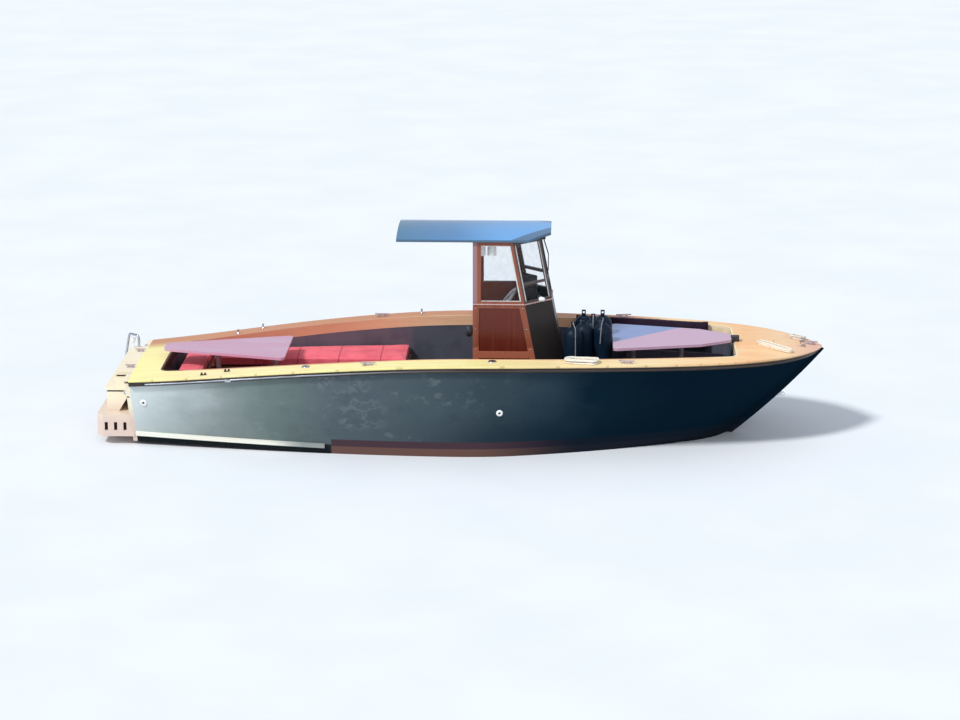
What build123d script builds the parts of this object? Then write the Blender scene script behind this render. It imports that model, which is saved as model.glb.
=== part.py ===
"""Open wooden speedboat with a centre console, afloat.

Frame: +X forward, +Y to port, +Z up, origin amidships on the waterplane. Millimetres.
"""
import os
from math import atan2, hypot, sin

from build123d import *

# Hull stations, stern to stem. Each section lies in a plane that leans from keel to sheer.
# columns: x at keel, x at sheer, z keel, z chine, z sheer, half beam at chine, half beam at sheer
STATIONS = [
    (-3450, -3520, -160, 40, 724, 740, 883),
    (-3000, -3040, -200, 30, 765, 808, 955),
    (-2400, -2400, -255, 16, 832, 893, 1044),
    (-1700, -1700, -295, 2, 903, 980, 1137),
    (-1000, -1000, -330, -10, 960, 1048, 1209),
    (-300, -300, -354, -22, 997, 1092, 1250),
    (400, 400, -360, -30, 1004, 1072, 1240),
    (1050, 1080, -354, -30, 999, 920, 1180),
    (1650, 1750, -338, -28, 993, 720, 1108),
    (2100, 2400, -310, -24, 985, 520, 1003),
    (2400, 2980, -275, -16, 975, 350, 838),
    (2560, 3450, -245, -8, 961, 190, 565),
    (2640, 3850, -220, 0, 943, 32, 34),
]
PLANK = 22
KEEL_FLAT = 24
STEM_NOSE = 46
STEM_BELLY = (3376, 395)
STEM_HALF = 30
SEAT = 0.3
SINK = 4
FOOT = (Align.CENTER, Align.CENTER, Align.MIN)
SEAM = 0.9

# Reach of the blocks that cut the lofts, beyond the hull on every side
FAR = 4000
WIDE = 1500
DEEP = -800
HIGH = 3000

# Where the long planks, linings and coamings are joined end to end
LENGTH_ENDS = [-1950, -620, 1350]

# Deck and cockpit
DECK_THICK = 26
DECK_OVERHANG = 12
DECK_CAMBER = 14
COCKPIT_AFT = -3230
COCKPIT_FWD = 2940
COCKPIT_HALF_AFT = 610
COCKPIT_HALF_MID = 1010
COCKPIT_HALF_FWD = 680
COCKPIT_CORNER = 130
FOREDECK_LONG = STATIONS[-1][1] - COCKPIT_FWD
COAMING_THICK = 20
COAMING_ABOVE = 8
COAMING_BELOW = 75
SOLE_Z = 280
SOLE_THICK = 25

# Rails on the hull
RUB_OUT = 28
RUB_HIGH = 48
CHINE_UP = 72
CHINE_OUT = 38
CHINE_HIGH = 46
CHINE_FWD_END = -1430
BEHIND = 8
RUB_GAP = 1.6

# Stern
TRANSOM_THICK = 45
PLATFORM_AFT = -3900
PLATFORM_HALF = 760
PLATFORM_TOP = 330
PLATFORM_THICK = 235
PLATFORM_CORNER = 70
PLATFORM_SLOTS = [-3812, -3712, -3612]
SLOT_WIDE = 34
SLOT_DEEP = 40
SLOT_LOW = 160
SLOT_HIGH = 250
STEP_TREAD = 26
STEP_SLOT = 12
STEP_GAP = [(-3680, 331), (-3586, 485), (-3520, 485), (-3520, 331)]
STEP_GAP_DEEP = 400
# Steps. columns: aft edge, top, half width, set back of the body under the tread
STEPS = [(-3830, 585, 600, 24), (-3722, 751, 580, 20)]
CAP_AFT = -3578
CAP_HALF = 868
CAP_FWD = STATIONS[0][1] - 5
# Grab rail to port of the steps: x and y of its foot on the platform, its bend and its head on the top tread
RAIL_PLAN = (-3840, 715, -3750, 655, -3630, 556)
RAIL_R = 14
RAIL_KNEE = 90
RAIL_HIGH = 129
RAIL_BEND = 40
LAMP_X = -3688
LAMP_Y = 538

# Seats
SEAT_TOP = 620
CUSHION_THICK = 95
AFT_BENCH_FWD = -620
AFT_BENCH_AFT = -3100
AFT_WELL_AFT = -2790
WELL_HALF = 250
BOW_BENCH_AFT = 1750
BOW_BENCH_FWD = COCKPIT_FWD - 40
BOW_WELL_FWD = COCKPIT_FWD - 490
BACKREST_THICK = 60
BACKREST_LOW = 750
BACKREST_TOP_STARBOARD = -30
BACKREST_TOP_PORT = 90
BACKREST_AFT = 1200
BACKREST_FWD = COCKPIT_FWD - 240

# Tables. columns: x, half width
AFT_TABLE = [(-3250, 130), (-1900, 512)]
TABLE_TIP_GAP = 45
BOW_TABLE = [(1615, 575), (COCKPIT_FWD - 370, 345), (COCKPIT_FWD - TABLE_TIP_GAP, 135)]
AFT_TABLE_Z = 908
BOW_TABLE_Z = 1060
TABLE_THICK = 28
PEDESTAL_R = 28
PEDESTAL_FLANGE_R = 70
PEDESTAL_FLANGE = 8
AFT_PEDESTALS = [-2670, -2050]
BOW_PEDESTALS = [1840, COCKPIT_FWD - 580]
BRACKET_HALF = 42
BRACKET_FWD = COCKPIT_FWD + 42
BRACKET_TOP = 1072

# Console
ROOF_HALF = 520
ROOF_OVERHANG = 30
CONSOLE_AFT = 120
CONSOLE_HALF = ROOF_HALF - ROOF_OVERHANG
CONSOLE_WALL = 30
CONSOLE_FRONT_HALF = 205
CONSOLE_SIDE_BASE = 912
CONSOLE_RAKE = 0.195
SILL_Z = 1545
WINDOW_TOP = 2150
BAR_Z = 1725
BAR_HIGH = 28
AFT_POST = 86
FRONT_STILE = 30
CORNER_STILE = 24
GLASS = 6
FIELD_DEPTH = 8
FIELD_LOW = 190
FIELD_MARGIN = 75
FIELD_STILE = 64

# Roof
ROOF_AFT = -690
ROOF_FWD = 946
ROOF_CORNER_X = 716
ROOF_CORNER_HALF = 300
ROOF_EDGE_Z = 2190
ROOF_THICK = 30
ROOF_CAMBER = 62

# Helm
DASH_LOW = 1090
DASH_TOP = 1480
DASH_AFT = 500
DASH_SLOPE = 150
DASH_DEPTH = 330
WHEEL_R = 185
WHEEL_RIM = 14
WHEEL_STANDOFF = 120
WHEEL_SHAFT_R = 11
WHEEL_SHAFT_GAP = 0.05
WHEEL_SHAFT_IN = 90
HUB_R = 34

# Drive
PROP_X = -2785
PROP_R = 165
PROP_HUB_R = 42
PROP_HUB_LONG = 110
PROP_BLADES = 3
SHAFT_Z = -420
SHAFT_R = 17.5
SHAFT_GAP = 0.05
SHAFT_IN = 260
KEEL_THICK = 52
KEEL_FWD = 1500
KEEL_DEEP = -660
SKEG_AFT = -2660
BOSS_R = 44
SHOE_HIGH = 45
RUDDER_STOCK_X = -3180
RUDDER_AHEAD = 90
RUDDER_CHORD = 370
RUDDER_THICK = 36
RUDDER_TOP = -215
RUDDER_LOW = -590
STOCK_R = 19
PINTLE_R = 11.4
ENGINE_DROP = 5.2
ENGINE_BOX = [(-1900, -1000), 250, 245]

# Fenders stowed upright between the console and the bow seats. columns: x, y
FENDERS = [(1190, -440), (1303, -250), (1507, -250), (1405, -68), (1303, 114), (1507, 114)]
FENDER_R = 100
FENDER_LONG = 980
EYE_WIDE = 44
EYE_HIGH = 60
EYE_DEEP = 20
EYELET_R = 13
LANYARD_R = 5
LANYARD_BEND = 16

# Anchor locker hatch in the foredeck
HATCH_AFT = COCKPIT_FWD + 0.46 * FOREDECK_LONG
HATCH_LONG = 0.32 * FOREDECK_LONG
HATCH_HALF = 0.145 * FOREDECK_LONG
HATCH_GAP = 5
HINGE_Y = 0.7 * HATCH_HALF
HINGE_R = 7
HINGE_PIN_R = 3

# Cleats. columns: x, y, turn in degrees, length
CLEATS = [(-958, -1108, 2, 160), (-958, 1108, -2, 160), (1752, -1040, -8, 170), (1752, 1040, 8, 170),
          (STATIONS[-1][1] - 95, 0, 0, 150)]
AFT_CLEATS = [(-3582, -350, 0, 108), (-3582, 350, 0, 108)]
CLEAT_HIGH = 28
SPEAKER_R = 48
ROPE_BED = 14

# Eyes for a tow, a trailer winch or a lifting strap
STEM_EYE_X = 3470
STEM_EYE_Z = 430
STERN_EYE_Y = 680
STERN_EYE_Z = 560
EYE_THICK = 14
EYE_BORE_R = 12.5
EYE_R = 22

# Rope left on deck. columns: name, x, y, length, width, height, turn in degrees
ROPES = [
    ("rope_side", 1290, -1053, 370, 186, 56, -3),
    ("rope_fore_starboard", 3347, -264, 480, 84, 50, -45),
    ("rope_fore_port", 3634, 218, 190, 104, 46, -34),
]
# Lanyards tied to the fenders' eyes: name, fender, corners that the line runs through after the eye
LANYARDS = [
    ("lanyard_long", 0, [(1190, -490, 1313), (1214, -553, 1268), (1218, -556, 500)]),
    ("lanyard_mid", 3, [(1405, -118, 1316), (1402, -176, 1272), (1402, -182, 1180)]),
    ("lanyard_short", 2, [(1507, -300, 1313), (1490, -368, 1266), (1478, -373, 1060)]),
]


def save(name, shape):
    """Write one node as a STEP file named after it."""
    solids = shape.solids()
    part = solids[0] if len(solids) == 1 else Compound(children=list(solids))
    part.label = name
    export_step(part, f"parts/{name}.step")


def both_sides(shape):
    """A starboard shape and its mirror image to port."""
    return [shape, shape.mirror(Plane.XZ)]


def polygon(points):
    return Face(Wire.make_polygon([Vector(*p) for p in points], close=True))


def lean(station, z):
    """X of a station's leaning section plane at height z."""
    x_keel, x_sheer, z_keel, _, z_sheer, _, _ = station
    return x_keel + (x_sheer - x_keel) * (z - z_keel) / (z_sheer - z_keel)


def loft_sections(section, stations=STATIONS):
    """Smooth loft through section(station), a list of (y, z) on each station's plane."""
    faces = []
    for station in stations:
        points = [(lean(station, z), y, z) for y, z in section(station)]
        faces.append(polygon(points))
    return loft(faces)


def side_y(station, z):
    """Half beam of the outer topside at height z."""
    _, _, _, z_chine, z_sheer, y_chine, y_sheer = station
    return y_chine + (y_sheer - y_chine) * (z - z_chine) / (z_sheer - z_chine)


def outer_section(station):
    _, _, z_keel, z_chine, z_sheer, y_chine, y_sheer = station
    return [(-y_sheer, z_sheer), (-y_chine, z_chine), (-KEEL_FLAT, z_keel), (KEEL_FLAT, z_keel),
            (y_chine, z_chine), (y_sheer, z_sheer)]


def chine_wall(station):
    """Horizontal width of the bottom planking where it meets the chine."""
    _, _, z_keel, z_chine, _, y_chine, _ = station
    slope = atan2(z_chine - z_keel, y_chine - KEEL_FLAT)
    return min(PLANK / sin(slope), y_chine - 8)


def bottom_section(station):
    _, _, z_keel, z_chine, _, y_chine, _ = station
    inner = y_chine - chine_wall(station)
    return [(-y_chine, z_chine), (-KEEL_FLAT, z_keel), (KEEL_FLAT, z_keel), (y_chine, z_chine),
            (inner, z_chine), (0, z_keel + PLANK * 1.1), (-inner, z_chine)]


def topside_section(station):
    _, _, _, z_chine, z_sheer, y_chine, y_sheer = station
    low = z_chine + SEAM
    return [(-y_sheer, z_sheer), (-y_chine, low), (-y_chine + PLANK, low), (-y_sheer + PLANK, z_sheer)]


def inside_section(station):
    """The clear space inside the planking, a hair smaller all round."""
    _, _, z_keel, z_chine, z_sheer, y_chine, y_sheer = station
    gap = 2
    chine = max(y_chine - PLANK - gap, 4)
    low = z_chine + 4
    sheer = max(y_sheer - PLANK - gap, 6)
    flat = min(KEEL_FLAT, chine * 0.5)
    floor = z_keel + PLANK * 1.1 + (z_chine - z_keel) * PLANK / max(y_chine, 60) + 12
    return [(-sheer, z_sheer - 1), (-chine, low), (-flat, floor), (flat, floor), (chine, low), (sheer, z_sheer - 1)]


def below_deck(rise):
    """Wide block whose top runs at the sheer plus rise."""
    return loft_sections(lambda s: [(-WIDE, DEEP), (WIDE, DEEP), (WIDE, s[4] + rise), (-WIDE, s[4] + rise)],
                         [(s[1], s[1]) + s[2:] for s in STATIONS])


def resting_z(shape, x, y, reach):
    """Height at which a flat foot of the given half width rests on top of a shape."""
    tops = []
    for dx in (-reach, 0, reach):
        for dy in (-reach, 0, reach):
            hits = shape.find_intersection_points(Axis((x + dx, y + dy, -2000), (0, 0, 1)))
            tops += [point.Z for point, _ in hits]
    return max(tops) + SEAT


def in_lengths(shape):
    """A long piece sawn across where its lengths are joined end to end."""
    ends = [-FAR] + LENGTH_ENDS + [FAR]
    lengths = []
    for aft, fwd in zip(ends, ends[1:]):
        lengths += (shape & block(aft + SEAT / 2, fwd - SEAT / 2, -WIDE, WIDE, DEEP, HIGH)).solids()
    return Compound(lengths)


def cockpit_outline(inset):
    """Plan of the cockpit opening, drawn in by inset, as a face at z = 0."""
    aft, fwd = COCKPIT_AFT + inset, COCKPIT_FWD - inset
    half_aft, half_mid, half_fwd = (h - inset for h in (COCKPIT_HALF_AFT, COCKPIT_HALF_MID, COCKPIT_HALF_FWD))
    corner = COCKPIT_CORNER - inset
    mid = (aft + fwd) / 2
    edges = [
        Line((aft, -half_aft), (aft, half_aft)),
        ThreePointArc((aft, half_aft), (mid, half_mid), (fwd, half_fwd)),
        Line((fwd, half_fwd), (fwd, -half_fwd)),
        ThreePointArc((fwd, -half_fwd), (mid, -half_mid), (aft, -half_aft)),
    ]
    face = make_face(edges)
    return fillet(face.vertices(), corner)


def cockpit_prism(inset, low, high):
    return extrude(Pos(0, 0, low) * cockpit_outline(inset), high - low)


def block(x0, x1, y0, y1, z0, z1):
    return Pos((x0 + x1) / 2, (y0 + y1) / 2, (z0 + z1) / 2) * Box(x1 - x0, y1 - y0, z1 - z0)


OUTER = loft_sections(outer_section)
INSIDE = loft_sections(inside_section)
BOTTOM = loft_sections(bottom_section)


def build_hull():
    port_hole = Pos(RUDDER_STOCK_X, 0, 0) * Cylinder(STOCK_R + SHAFT_GAP, 900)
    save("hull_bottom", BOTTOM - port_hole)
    topside = loft_sections(topside_section)
    planks = in_lengths(topside)
    save("topside_starboard", planks)
    save("topside_port", planks.mirror(Plane.XZ))

    def rub_section(s):
        top, low = s[4] - SEAM / 2, s[4] - RUB_HIGH
        return [(-side_y(s, top) + BEHIND, top), (-side_y(s, top) - RUB_OUT, top),
                (-side_y(s, top) - RUB_OUT, low + 8), (-side_y(s, low) + BEHIND, low)]
    rail = loft_sections(rub_section) - Pos(0, -RUB_GAP, 0) * OUTER - topside
    rail = rail.solids().sort_by(SortBy.VOLUME)[-1]
    save("rub_rails", Compound(children=both_sides(rail)))

    def chine_section(s):
        low = s[3] + CHINE_UP
        high = low + CHINE_HIGH
        return [(-side_y(s, high) + BEHIND, high), (-side_y(s, high) - CHINE_OUT, high - 8),
                (-side_y(s, low) - CHINE_OUT, low), (-side_y(s, low) + BEHIND, low)]
    chine = loft_sections(chine_section) & block(-FAR, CHINE_FWD_END, -WIDE, 0, DEEP, HIGH)
    chine = (chine - topside).solids().sort_by(SortBy.VOLUME)[-1]
    save("chine_rails", Compound(children=both_sides(chine)))


def stem_post():
    """Cutwater with a slightly convex face that closes the planking at the bow."""
    last = STATIONS[-1]
    foot = (last[0], 0, last[2])
    head = (last[1], 0, last[4])
    tip = (last[1] + STEM_NOSE, 0, last[4])
    belly = (STEM_BELLY[0], 0, STEM_BELLY[1])
    edges = [
        Line(foot, head), Line(head, tip), ThreePointArc(tip, belly, foot),
    ]
    face = make_face(edges)
    return extrude(face, STEM_HALF, both=True, dir=(0, 1, 0))


def build_deck():
    def deck_section(s):
        low, out = s[4] + SEAM, s[6] + DECK_OVERHANG
        crown = DECK_CAMBER * min(1, s[6] / 600)
        return [(-out, low), (out, low), (out, low + DECK_THICK), (0, low + DECK_THICK + crown),
                (-out, low + DECK_THICK)]
    deck = loft_sections(deck_section)
    deck -= cockpit_prism(0, 0, HIGH)
    aft = deck & block(-FAR, COCKPIT_AFT, -WIDE, WIDE, 0, HIGH)
    fore = deck & block(COCKPIT_FWD, FAR, -WIDE, WIDE, 0, HIGH)
    side = deck & block(COCKPIT_AFT + SEAT, COCKPIT_FWD - SEAT, -WIDE, 0, 0, HIGH)
    hatch_hole = block(HATCH_AFT, HATCH_AFT + HATCH_LONG, -HATCH_HALF, HATCH_HALF, 0, HIGH)
    lid_block = block(HATCH_AFT + HATCH_GAP, HATCH_AFT + HATCH_LONG - HATCH_GAP, -HATCH_HALF + HATCH_GAP,
                      HATCH_HALF - HATCH_GAP, 0, HIGH)
    save("aft_deck", aft)
    save("foredeck", fore - hatch_hole)
    build_hatch(fore & lid_block, deck)
    planks = in_lengths(side)
    save("side_deck_starboard", planks)
    save("side_deck_port", planks.mirror(Plane.XZ))
    ring = cockpit_prism(SEAT, 0, HIGH) - cockpit_prism(COAMING_THICK, 0, HIGH)
    coaming = (ring & below_deck(DECK_THICK + COAMING_ABOVE)) - below_deck(-COAMING_BELOW)
    half = in_lengths(coaming & block(-FAR, FAR, -WIDE, -SEAT / 2, 0, HIGH))
    save("coaming", Compound(children=both_sides(half)))
    bracket = block(COCKPIT_FWD - TABLE_TIP_GAP + SEAT, BRACKET_FWD, -BRACKET_HALF, BRACKET_HALF, 0, BRACKET_TOP)
    bracket -= below_deck(DECK_THICK)
    bracket = bracket - Pos(0, 0, SEAT) * deck - Pos(0, 0, SEAT) * coaming
    save("table_bracket", bracket.solids().sort_by(SortBy.VOLUME)[-1])
    lining = cockpit_prism(SEAT, SOLE_Z, HIGH) - cockpit_prism(COAMING_THICK, SOLE_Z - 1, HIGH)
    lining = lining & below_deck(-COAMING_BELOW - SEAT) & INSIDE
    half = in_lengths(lining & block(-FAR, FAR, -WIDE, -SEAT / 2, 0, HIGH))
    save("lining_starboard", half)
    save("lining_port", half.mirror(Plane.XZ))
    sole = cockpit_prism(0, SOLE_Z - SOLE_THICK, SOLE_Z - SEAT) & INSIDE
    save("sole", sole)
    return deck


def build_stern(deck):
    foot = STATIONS[0][0]
    transom = transom_solid()
    save("transom", transom)

    back = foot - TRANSOM_THICK
    platform = block(PLATFORM_AFT, back, -PLATFORM_HALF, PLATFORM_HALF, PLATFORM_TOP - PLATFORM_THICK, PLATFORM_TOP)
    platform = chamfer(platform.edges().filter_by(Axis.Z).group_by(Axis.X)[0], PLATFORM_CORNER)
    platform -= transom
    for x in PLATFORM_SLOTS:
        slot = block(x, x + SLOT_WIDE, -WIDE, -PLATFORM_HALF + SLOT_DEEP, SLOT_LOW, SLOT_HIGH)
        platform = platform - slot - slot.mirror(Plane.XZ)
    save("swim_platform", platform)

    steps = []
    low = PLATFORM_TOP + SEAT
    gap = extrude(polygon([(x, 0, z) for x, z in STEP_GAP]), WIDE, both=True, dir=(0, 1, 0))
    for aft, top, half, inset in STEPS:
        body = block(aft + inset, back + STEM_NOSE, -half, half, low, top - STEP_TREAD - STEP_SLOT)
        body -= gap - block(-FAR, FAR, -half + STEP_GAP_DEEP, half - STEP_GAP_DEEP, 0, HIGH)
        neck = block(aft + 3 * inset, back + STEM_NOSE, -half + 2 * inset, half - 2 * inset,
                     top - STEP_TREAD - STEP_SLOT, top - STEP_TREAD)
        tread = block(aft, back + STEM_NOSE, -half, half, top - STEP_TREAD, top)
        step = fillet(tread.edges().filter_by(Axis.Z).group_by(Axis.X)[0], 40) + neck + body
        step = step - Pos(0, 0, SEAT) * transom - Pos(-SEAT, 0, 0) * transom
        step &= block(-FAR, CAP_FWD, -WIDE, WIDE, 0, HIGH)
        step = step.solids().sort_by(SortBy.VOLUME)[-1]
        if top > STEPS[0][1]:
            step = step + block(CAP_AFT, CAP_FWD, -CAP_HALF, CAP_HALF, STATIONS[0][4] + SEAT, top)
        steps.append(step)
        low = top + SEAT
    save("stern_steps", Compound(children=steps))

    foot_x, foot_y, bend_x, bend_y, head_x, head_y = RAIL_PLAN
    rail_foot = Vector(foot_x, foot_y, PLATFORM_TOP + SEAT)
    knee = Vector(foot_x, foot_y, PLATFORM_TOP + RAIL_KNEE)
    bend = Vector(bend_x, bend_y, STEPS[-1][1] + RAIL_HIGH)
    top = Vector(head_x, head_y, STEPS[-1][1] + RAIL_HIGH)
    rail_head = Vector(head_x, head_y, STEPS[-1][1] + SEAT)
    path = FilletPolyline(rail_foot, knee, bend, top, rail_head, radius=RAIL_BEND)
    save("stern_rail", sweep(Plane(rail_foot, z_dir=path % 0) * Circle(RAIL_R), path))


def build_below():
    """Skeg keel, drive and rudder under water."""
    outline = [(KEEL_FWD, -200), (KEEL_FWD, -352), (-900, -470), (-1600, KEEL_DEEP + SHOE_HIGH),
               (-1700, KEEL_DEEP), (RUDDER_STOCK_X - 60, KEEL_DEEP), (RUDDER_STOCK_X - 60, KEEL_DEEP + SHOE_HIGH),
               (SKEG_AFT, KEEL_DEEP + SHOE_HIGH), (SKEG_AFT, -200)]
    keel = extrude(polygon([(x, 0, z) for x, z in outline]), KEEL_THICK / 2, both=True, dir=(0, 1, 0))
    boss = Pos(SKEG_AFT, 0, SHAFT_Z) * Rot(0, 90, 0) * Cylinder(BOSS_R, 300, align=FOOT)
    bore = Pos(SKEG_AFT - 1, 0, SHAFT_Z) * Rot(0, 90, 0) * Cylinder(SHAFT_R + SHAFT_GAP, SHAFT_IN + 21, align=FOOT)
    keel = (keel + boss) - Pos(0, 0, -SEAT) * OUTER - bore
    pintle_hole = Pos(RUDDER_STOCK_X, 0, KEEL_DEEP + 10) * Cylinder(PINTLE_R + SHAFT_GAP, 100, align=FOOT)
    save("keel", keel.solids().sort_by(SortBy.VOLUME)[-1] - pintle_hole)

    hub = revolve(Face(Wire([
        Line((0, 0), (PROP_HUB_LONG, 0)), Line((PROP_HUB_LONG, 0), (PROP_HUB_LONG, PROP_HUB_R - 4)),
        Line((PROP_HUB_LONG, PROP_HUB_R - 4), (35, PROP_HUB_R)), ThreePointArc((35, PROP_HUB_R), (11, 31), (0, 10)),
        Line((0, 10), (0, 0)),
    ])), Axis.X)
    shaft_long = SKEG_AFT + SHAFT_IN - (PROP_X + PROP_HUB_LONG - 20)
    shaft = Rot(0, 90, 0) * Cylinder(SHAFT_R, shaft_long, align=FOOT)
    prop = hub + Pos(PROP_HUB_LONG - 20, 0, 0) * shaft
    # Blade sections. columns: share of the radius, half chord, half thickness, pitch angle
    blade_sections = [(0.2, 26, 8, 62), (0.55, 66, 6, 48), (0.85, 58, 4, 38), (1.0, 26, 2, 34)]
    for index in range(PROP_BLADES):
        rings = []
        for share, half, thick, pitch in blade_sections:
            rings.append(Pos(52, 0, PROP_R * share) * Rot(0, 0, pitch) * Rectangle(2 * half, 2 * thick))
        prop += Rot(360 / PROP_BLADES * index, 0, 0) * loft(rings, ruled=True)
    save("propeller", Pos(PROP_X, 0, SHAFT_Z) * prop)

    blade = polygon([(RUDDER_AHEAD, 0, RUDDER_TOP), (RUDDER_AHEAD, 0, RUDDER_LOW),
                     (RUDDER_AHEAD - RUDDER_CHORD + 60, 0, RUDDER_LOW), (RUDDER_AHEAD - RUDDER_CHORD, 0, RUDDER_TOP - 60),
                     (RUDDER_AHEAD - RUDDER_CHORD, 0, RUDDER_TOP)])
    blade = extrude(blade, RUDDER_THICK / 2, both=True, dir=(0, 1, 0))
    blade = fillet(blade.edges().filter_by(Axis.Z).group_by(Axis.X)[-1], RUDDER_THICK * 0.45)
    stock_top = 40
    stock = Pos(0, 0, RUDDER_TOP - 30) * Cylinder(STOCK_R, stock_top - RUDDER_TOP + 30, align=FOOT)
    pintle = Pos(0, 0, KEEL_DEEP + 14) * Cylinder(PINTLE_R, RUDDER_LOW - KEEL_DEEP, align=FOOT)
    save("rudder", Pos(RUDDER_STOCK_X, 0, 0) * (blade + stock + pintle))

    x_range, half, top = ENGINE_BOX
    save("engine", block(x_range[0], x_range[1], -half, half, -400, top) & Pos(0, 0, -ENGINE_DROP) * INSIDE)


def build_seats():
    inner = COAMING_THICK + SEAT
    well_aft = block(AFT_WELL_AFT, AFT_BENCH_FWD + 10, -WELL_HALF, WELL_HALF, 0, HIGH)
    aft_zone = block(AFT_BENCH_AFT, AFT_BENCH_FWD, -WIDE, WIDE, 0, HIGH)
    base = (cockpit_prism(inner, SOLE_Z, SEAT_TOP) & aft_zone) - well_aft
    save("aft_bench", base & INSIDE)
    top = (cockpit_prism(inner + 4, SEAT_TOP + SEAT, SEAT_TOP + CUSHION_THICK) & aft_zone) - well_aft
    side_zone = block(AFT_WELL_AFT + 4, AFT_BENCH_FWD, 0, WIDE, 0, HIGH)
    save("cushion_aft_port", top & side_zone)
    save("cushion_aft_starboard", top & side_zone.mirror(Plane.XZ))
    save("cushion_stern", top & block(AFT_BENCH_AFT, AFT_WELL_AFT - 4, -WIDE, WIDE, 0, HIGH))

    well_bow = block(BOW_BENCH_AFT - 10, BOW_WELL_FWD, -WELL_HALF, WELL_HALF, 0, HIGH)
    bow_zone = block(BOW_BENCH_AFT, BOW_BENCH_FWD, -WIDE, WIDE, 0, HIGH)
    base = (cockpit_prism(inner, SOLE_Z, SEAT_TOP) & bow_zone) - well_bow
    save("bow_bench", base & INSIDE)
    top = (cockpit_prism(inner + 4, SEAT_TOP + SEAT, SEAT_TOP + CUSHION_THICK) & bow_zone) - well_bow
    save("cushion_bow_starboard", top & INSIDE & block(BOW_BENCH_AFT, FAR, -WIDE, -2, 0, HIGH))
    save("cushion_bow_port", top & INSIDE & block(BOW_BENCH_AFT, FAR, 2, WIDE, 0, HIGH))

    pad_ring = cockpit_prism(inner, BACKREST_LOW, HIGH) - cockpit_prism(inner + BACKREST_THICK, 0, HIGH)
    for side, y0, y1, top in (("starboard", -WIDE, 0, BACKREST_TOP_STARBOARD), ("port", 0, WIDE, BACKREST_TOP_PORT)):
        zone = block(BACKREST_AFT, BACKREST_FWD, y0, y1, 0, HIGH)
        save(f"backrest_{side}", pad_ring & zone & below_deck(top))


def table(name, outline, z, pedestals, foot_z):
    points = [(x, -half, z) for x, half in outline] + [(x, half, z) for x, half in reversed(outline)]
    top = extrude(polygon(points), -TABLE_THICK, dir=(0, 0, 1))
    top = fillet(top.edges().filter_by(Axis.Z), 45)
    save(f"{name}_table", top)
    under = z - TABLE_THICK - SEAT
    posts = []
    for x in pedestals:
        foot = Pos(x, 0, foot_z) * Cylinder(PEDESTAL_FLANGE_R, PEDESTAL_FLANGE, align=FOOT)
        post = Pos(x, 0, foot_z) * Cylinder(PEDESTAL_R, under - foot_z, align=FOOT)
        head = Pos(x, 0, under - PEDESTAL_FLANGE) * Cylinder(PEDESTAL_FLANGE_R, PEDESTAL_FLANGE, align=FOOT)
        posts.append(foot + post + head)
    save(f"{name}_pedestals", Compound(children=posts))


def console_plan(inset):
    """Corner points of the console's plan at the sole, drawn in by inset."""
    turn = inset * (2 ** 0.5 - 1)
    half = CONSOLE_HALF - inset
    front_half = CONSOLE_FRONT_HALF - turn
    side = CONSOLE_SIDE_BASE - turn
    front = CONSOLE_SIDE_BASE + CONSOLE_HALF - CONSOLE_FRONT_HALF - inset
    return [(-900, -half), (side, -half), (front, -front_half), (front, front_half), (side, half), (-900, half)]


def leaning_prism(points, low=SOLE_Z, high=2400):
    """Plan points at the sole, extruded up along the console's rake."""
    rise = high - low
    shift = -CONSOLE_RAKE * (low - SOLE_Z)
    face = polygon([(x + shift, y, low) for x, y in points])
    direction = Vector(-CONSOLE_RAKE, 0, 1)
    return extrude(face, rise * direction.length, dir=direction.normalized())


def above_roof(drop):
    """Everything above the roof's underside, lowered by drop."""
    edge, crown = ROOF_EDGE_Z - drop, ROOF_EDGE_Z + ROOF_CAMBER - drop
    face = Face(Wire([
        ThreePointArc((-1200, -ROOF_HALF, edge), (-1200, 0, crown), (-1200, ROOF_HALF, edge)),
        Line((-1200, ROOF_HALF, edge), (-1200, ROOF_HALF, 2700)),
        Line((-1200, ROOF_HALF, 2700), (-1200, -ROOF_HALF, 2700)),
        Line((-1200, -ROOF_HALF, 2700), (-1200, -ROOF_HALF, edge)),
    ]))
    return extrude(face, 2600, dir=(1, 0, 0))


def panel_hole(start, end, low, high, margin, thick=80):
    """Opening through a leaning panel whose outer base edge runs from start to end, between two heights."""
    ux, uy = end[0] - start[0], end[1] - start[1]
    length = hypot(ux, uy)
    ux, uy = ux / length, uy / length

    def point(run, z):
        return Vector(start[0] + ux * run - CONSOLE_RAKE * (z - SOLE_Z), start[1] + uy * run, z)
    far = length - margin
    face = polygon([point(margin, low), point(far, low), point(far, high), point(margin, high)])
    normal = face.normal_at()
    return face, extrude(face, thick, dir=normal, both=True)


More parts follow.
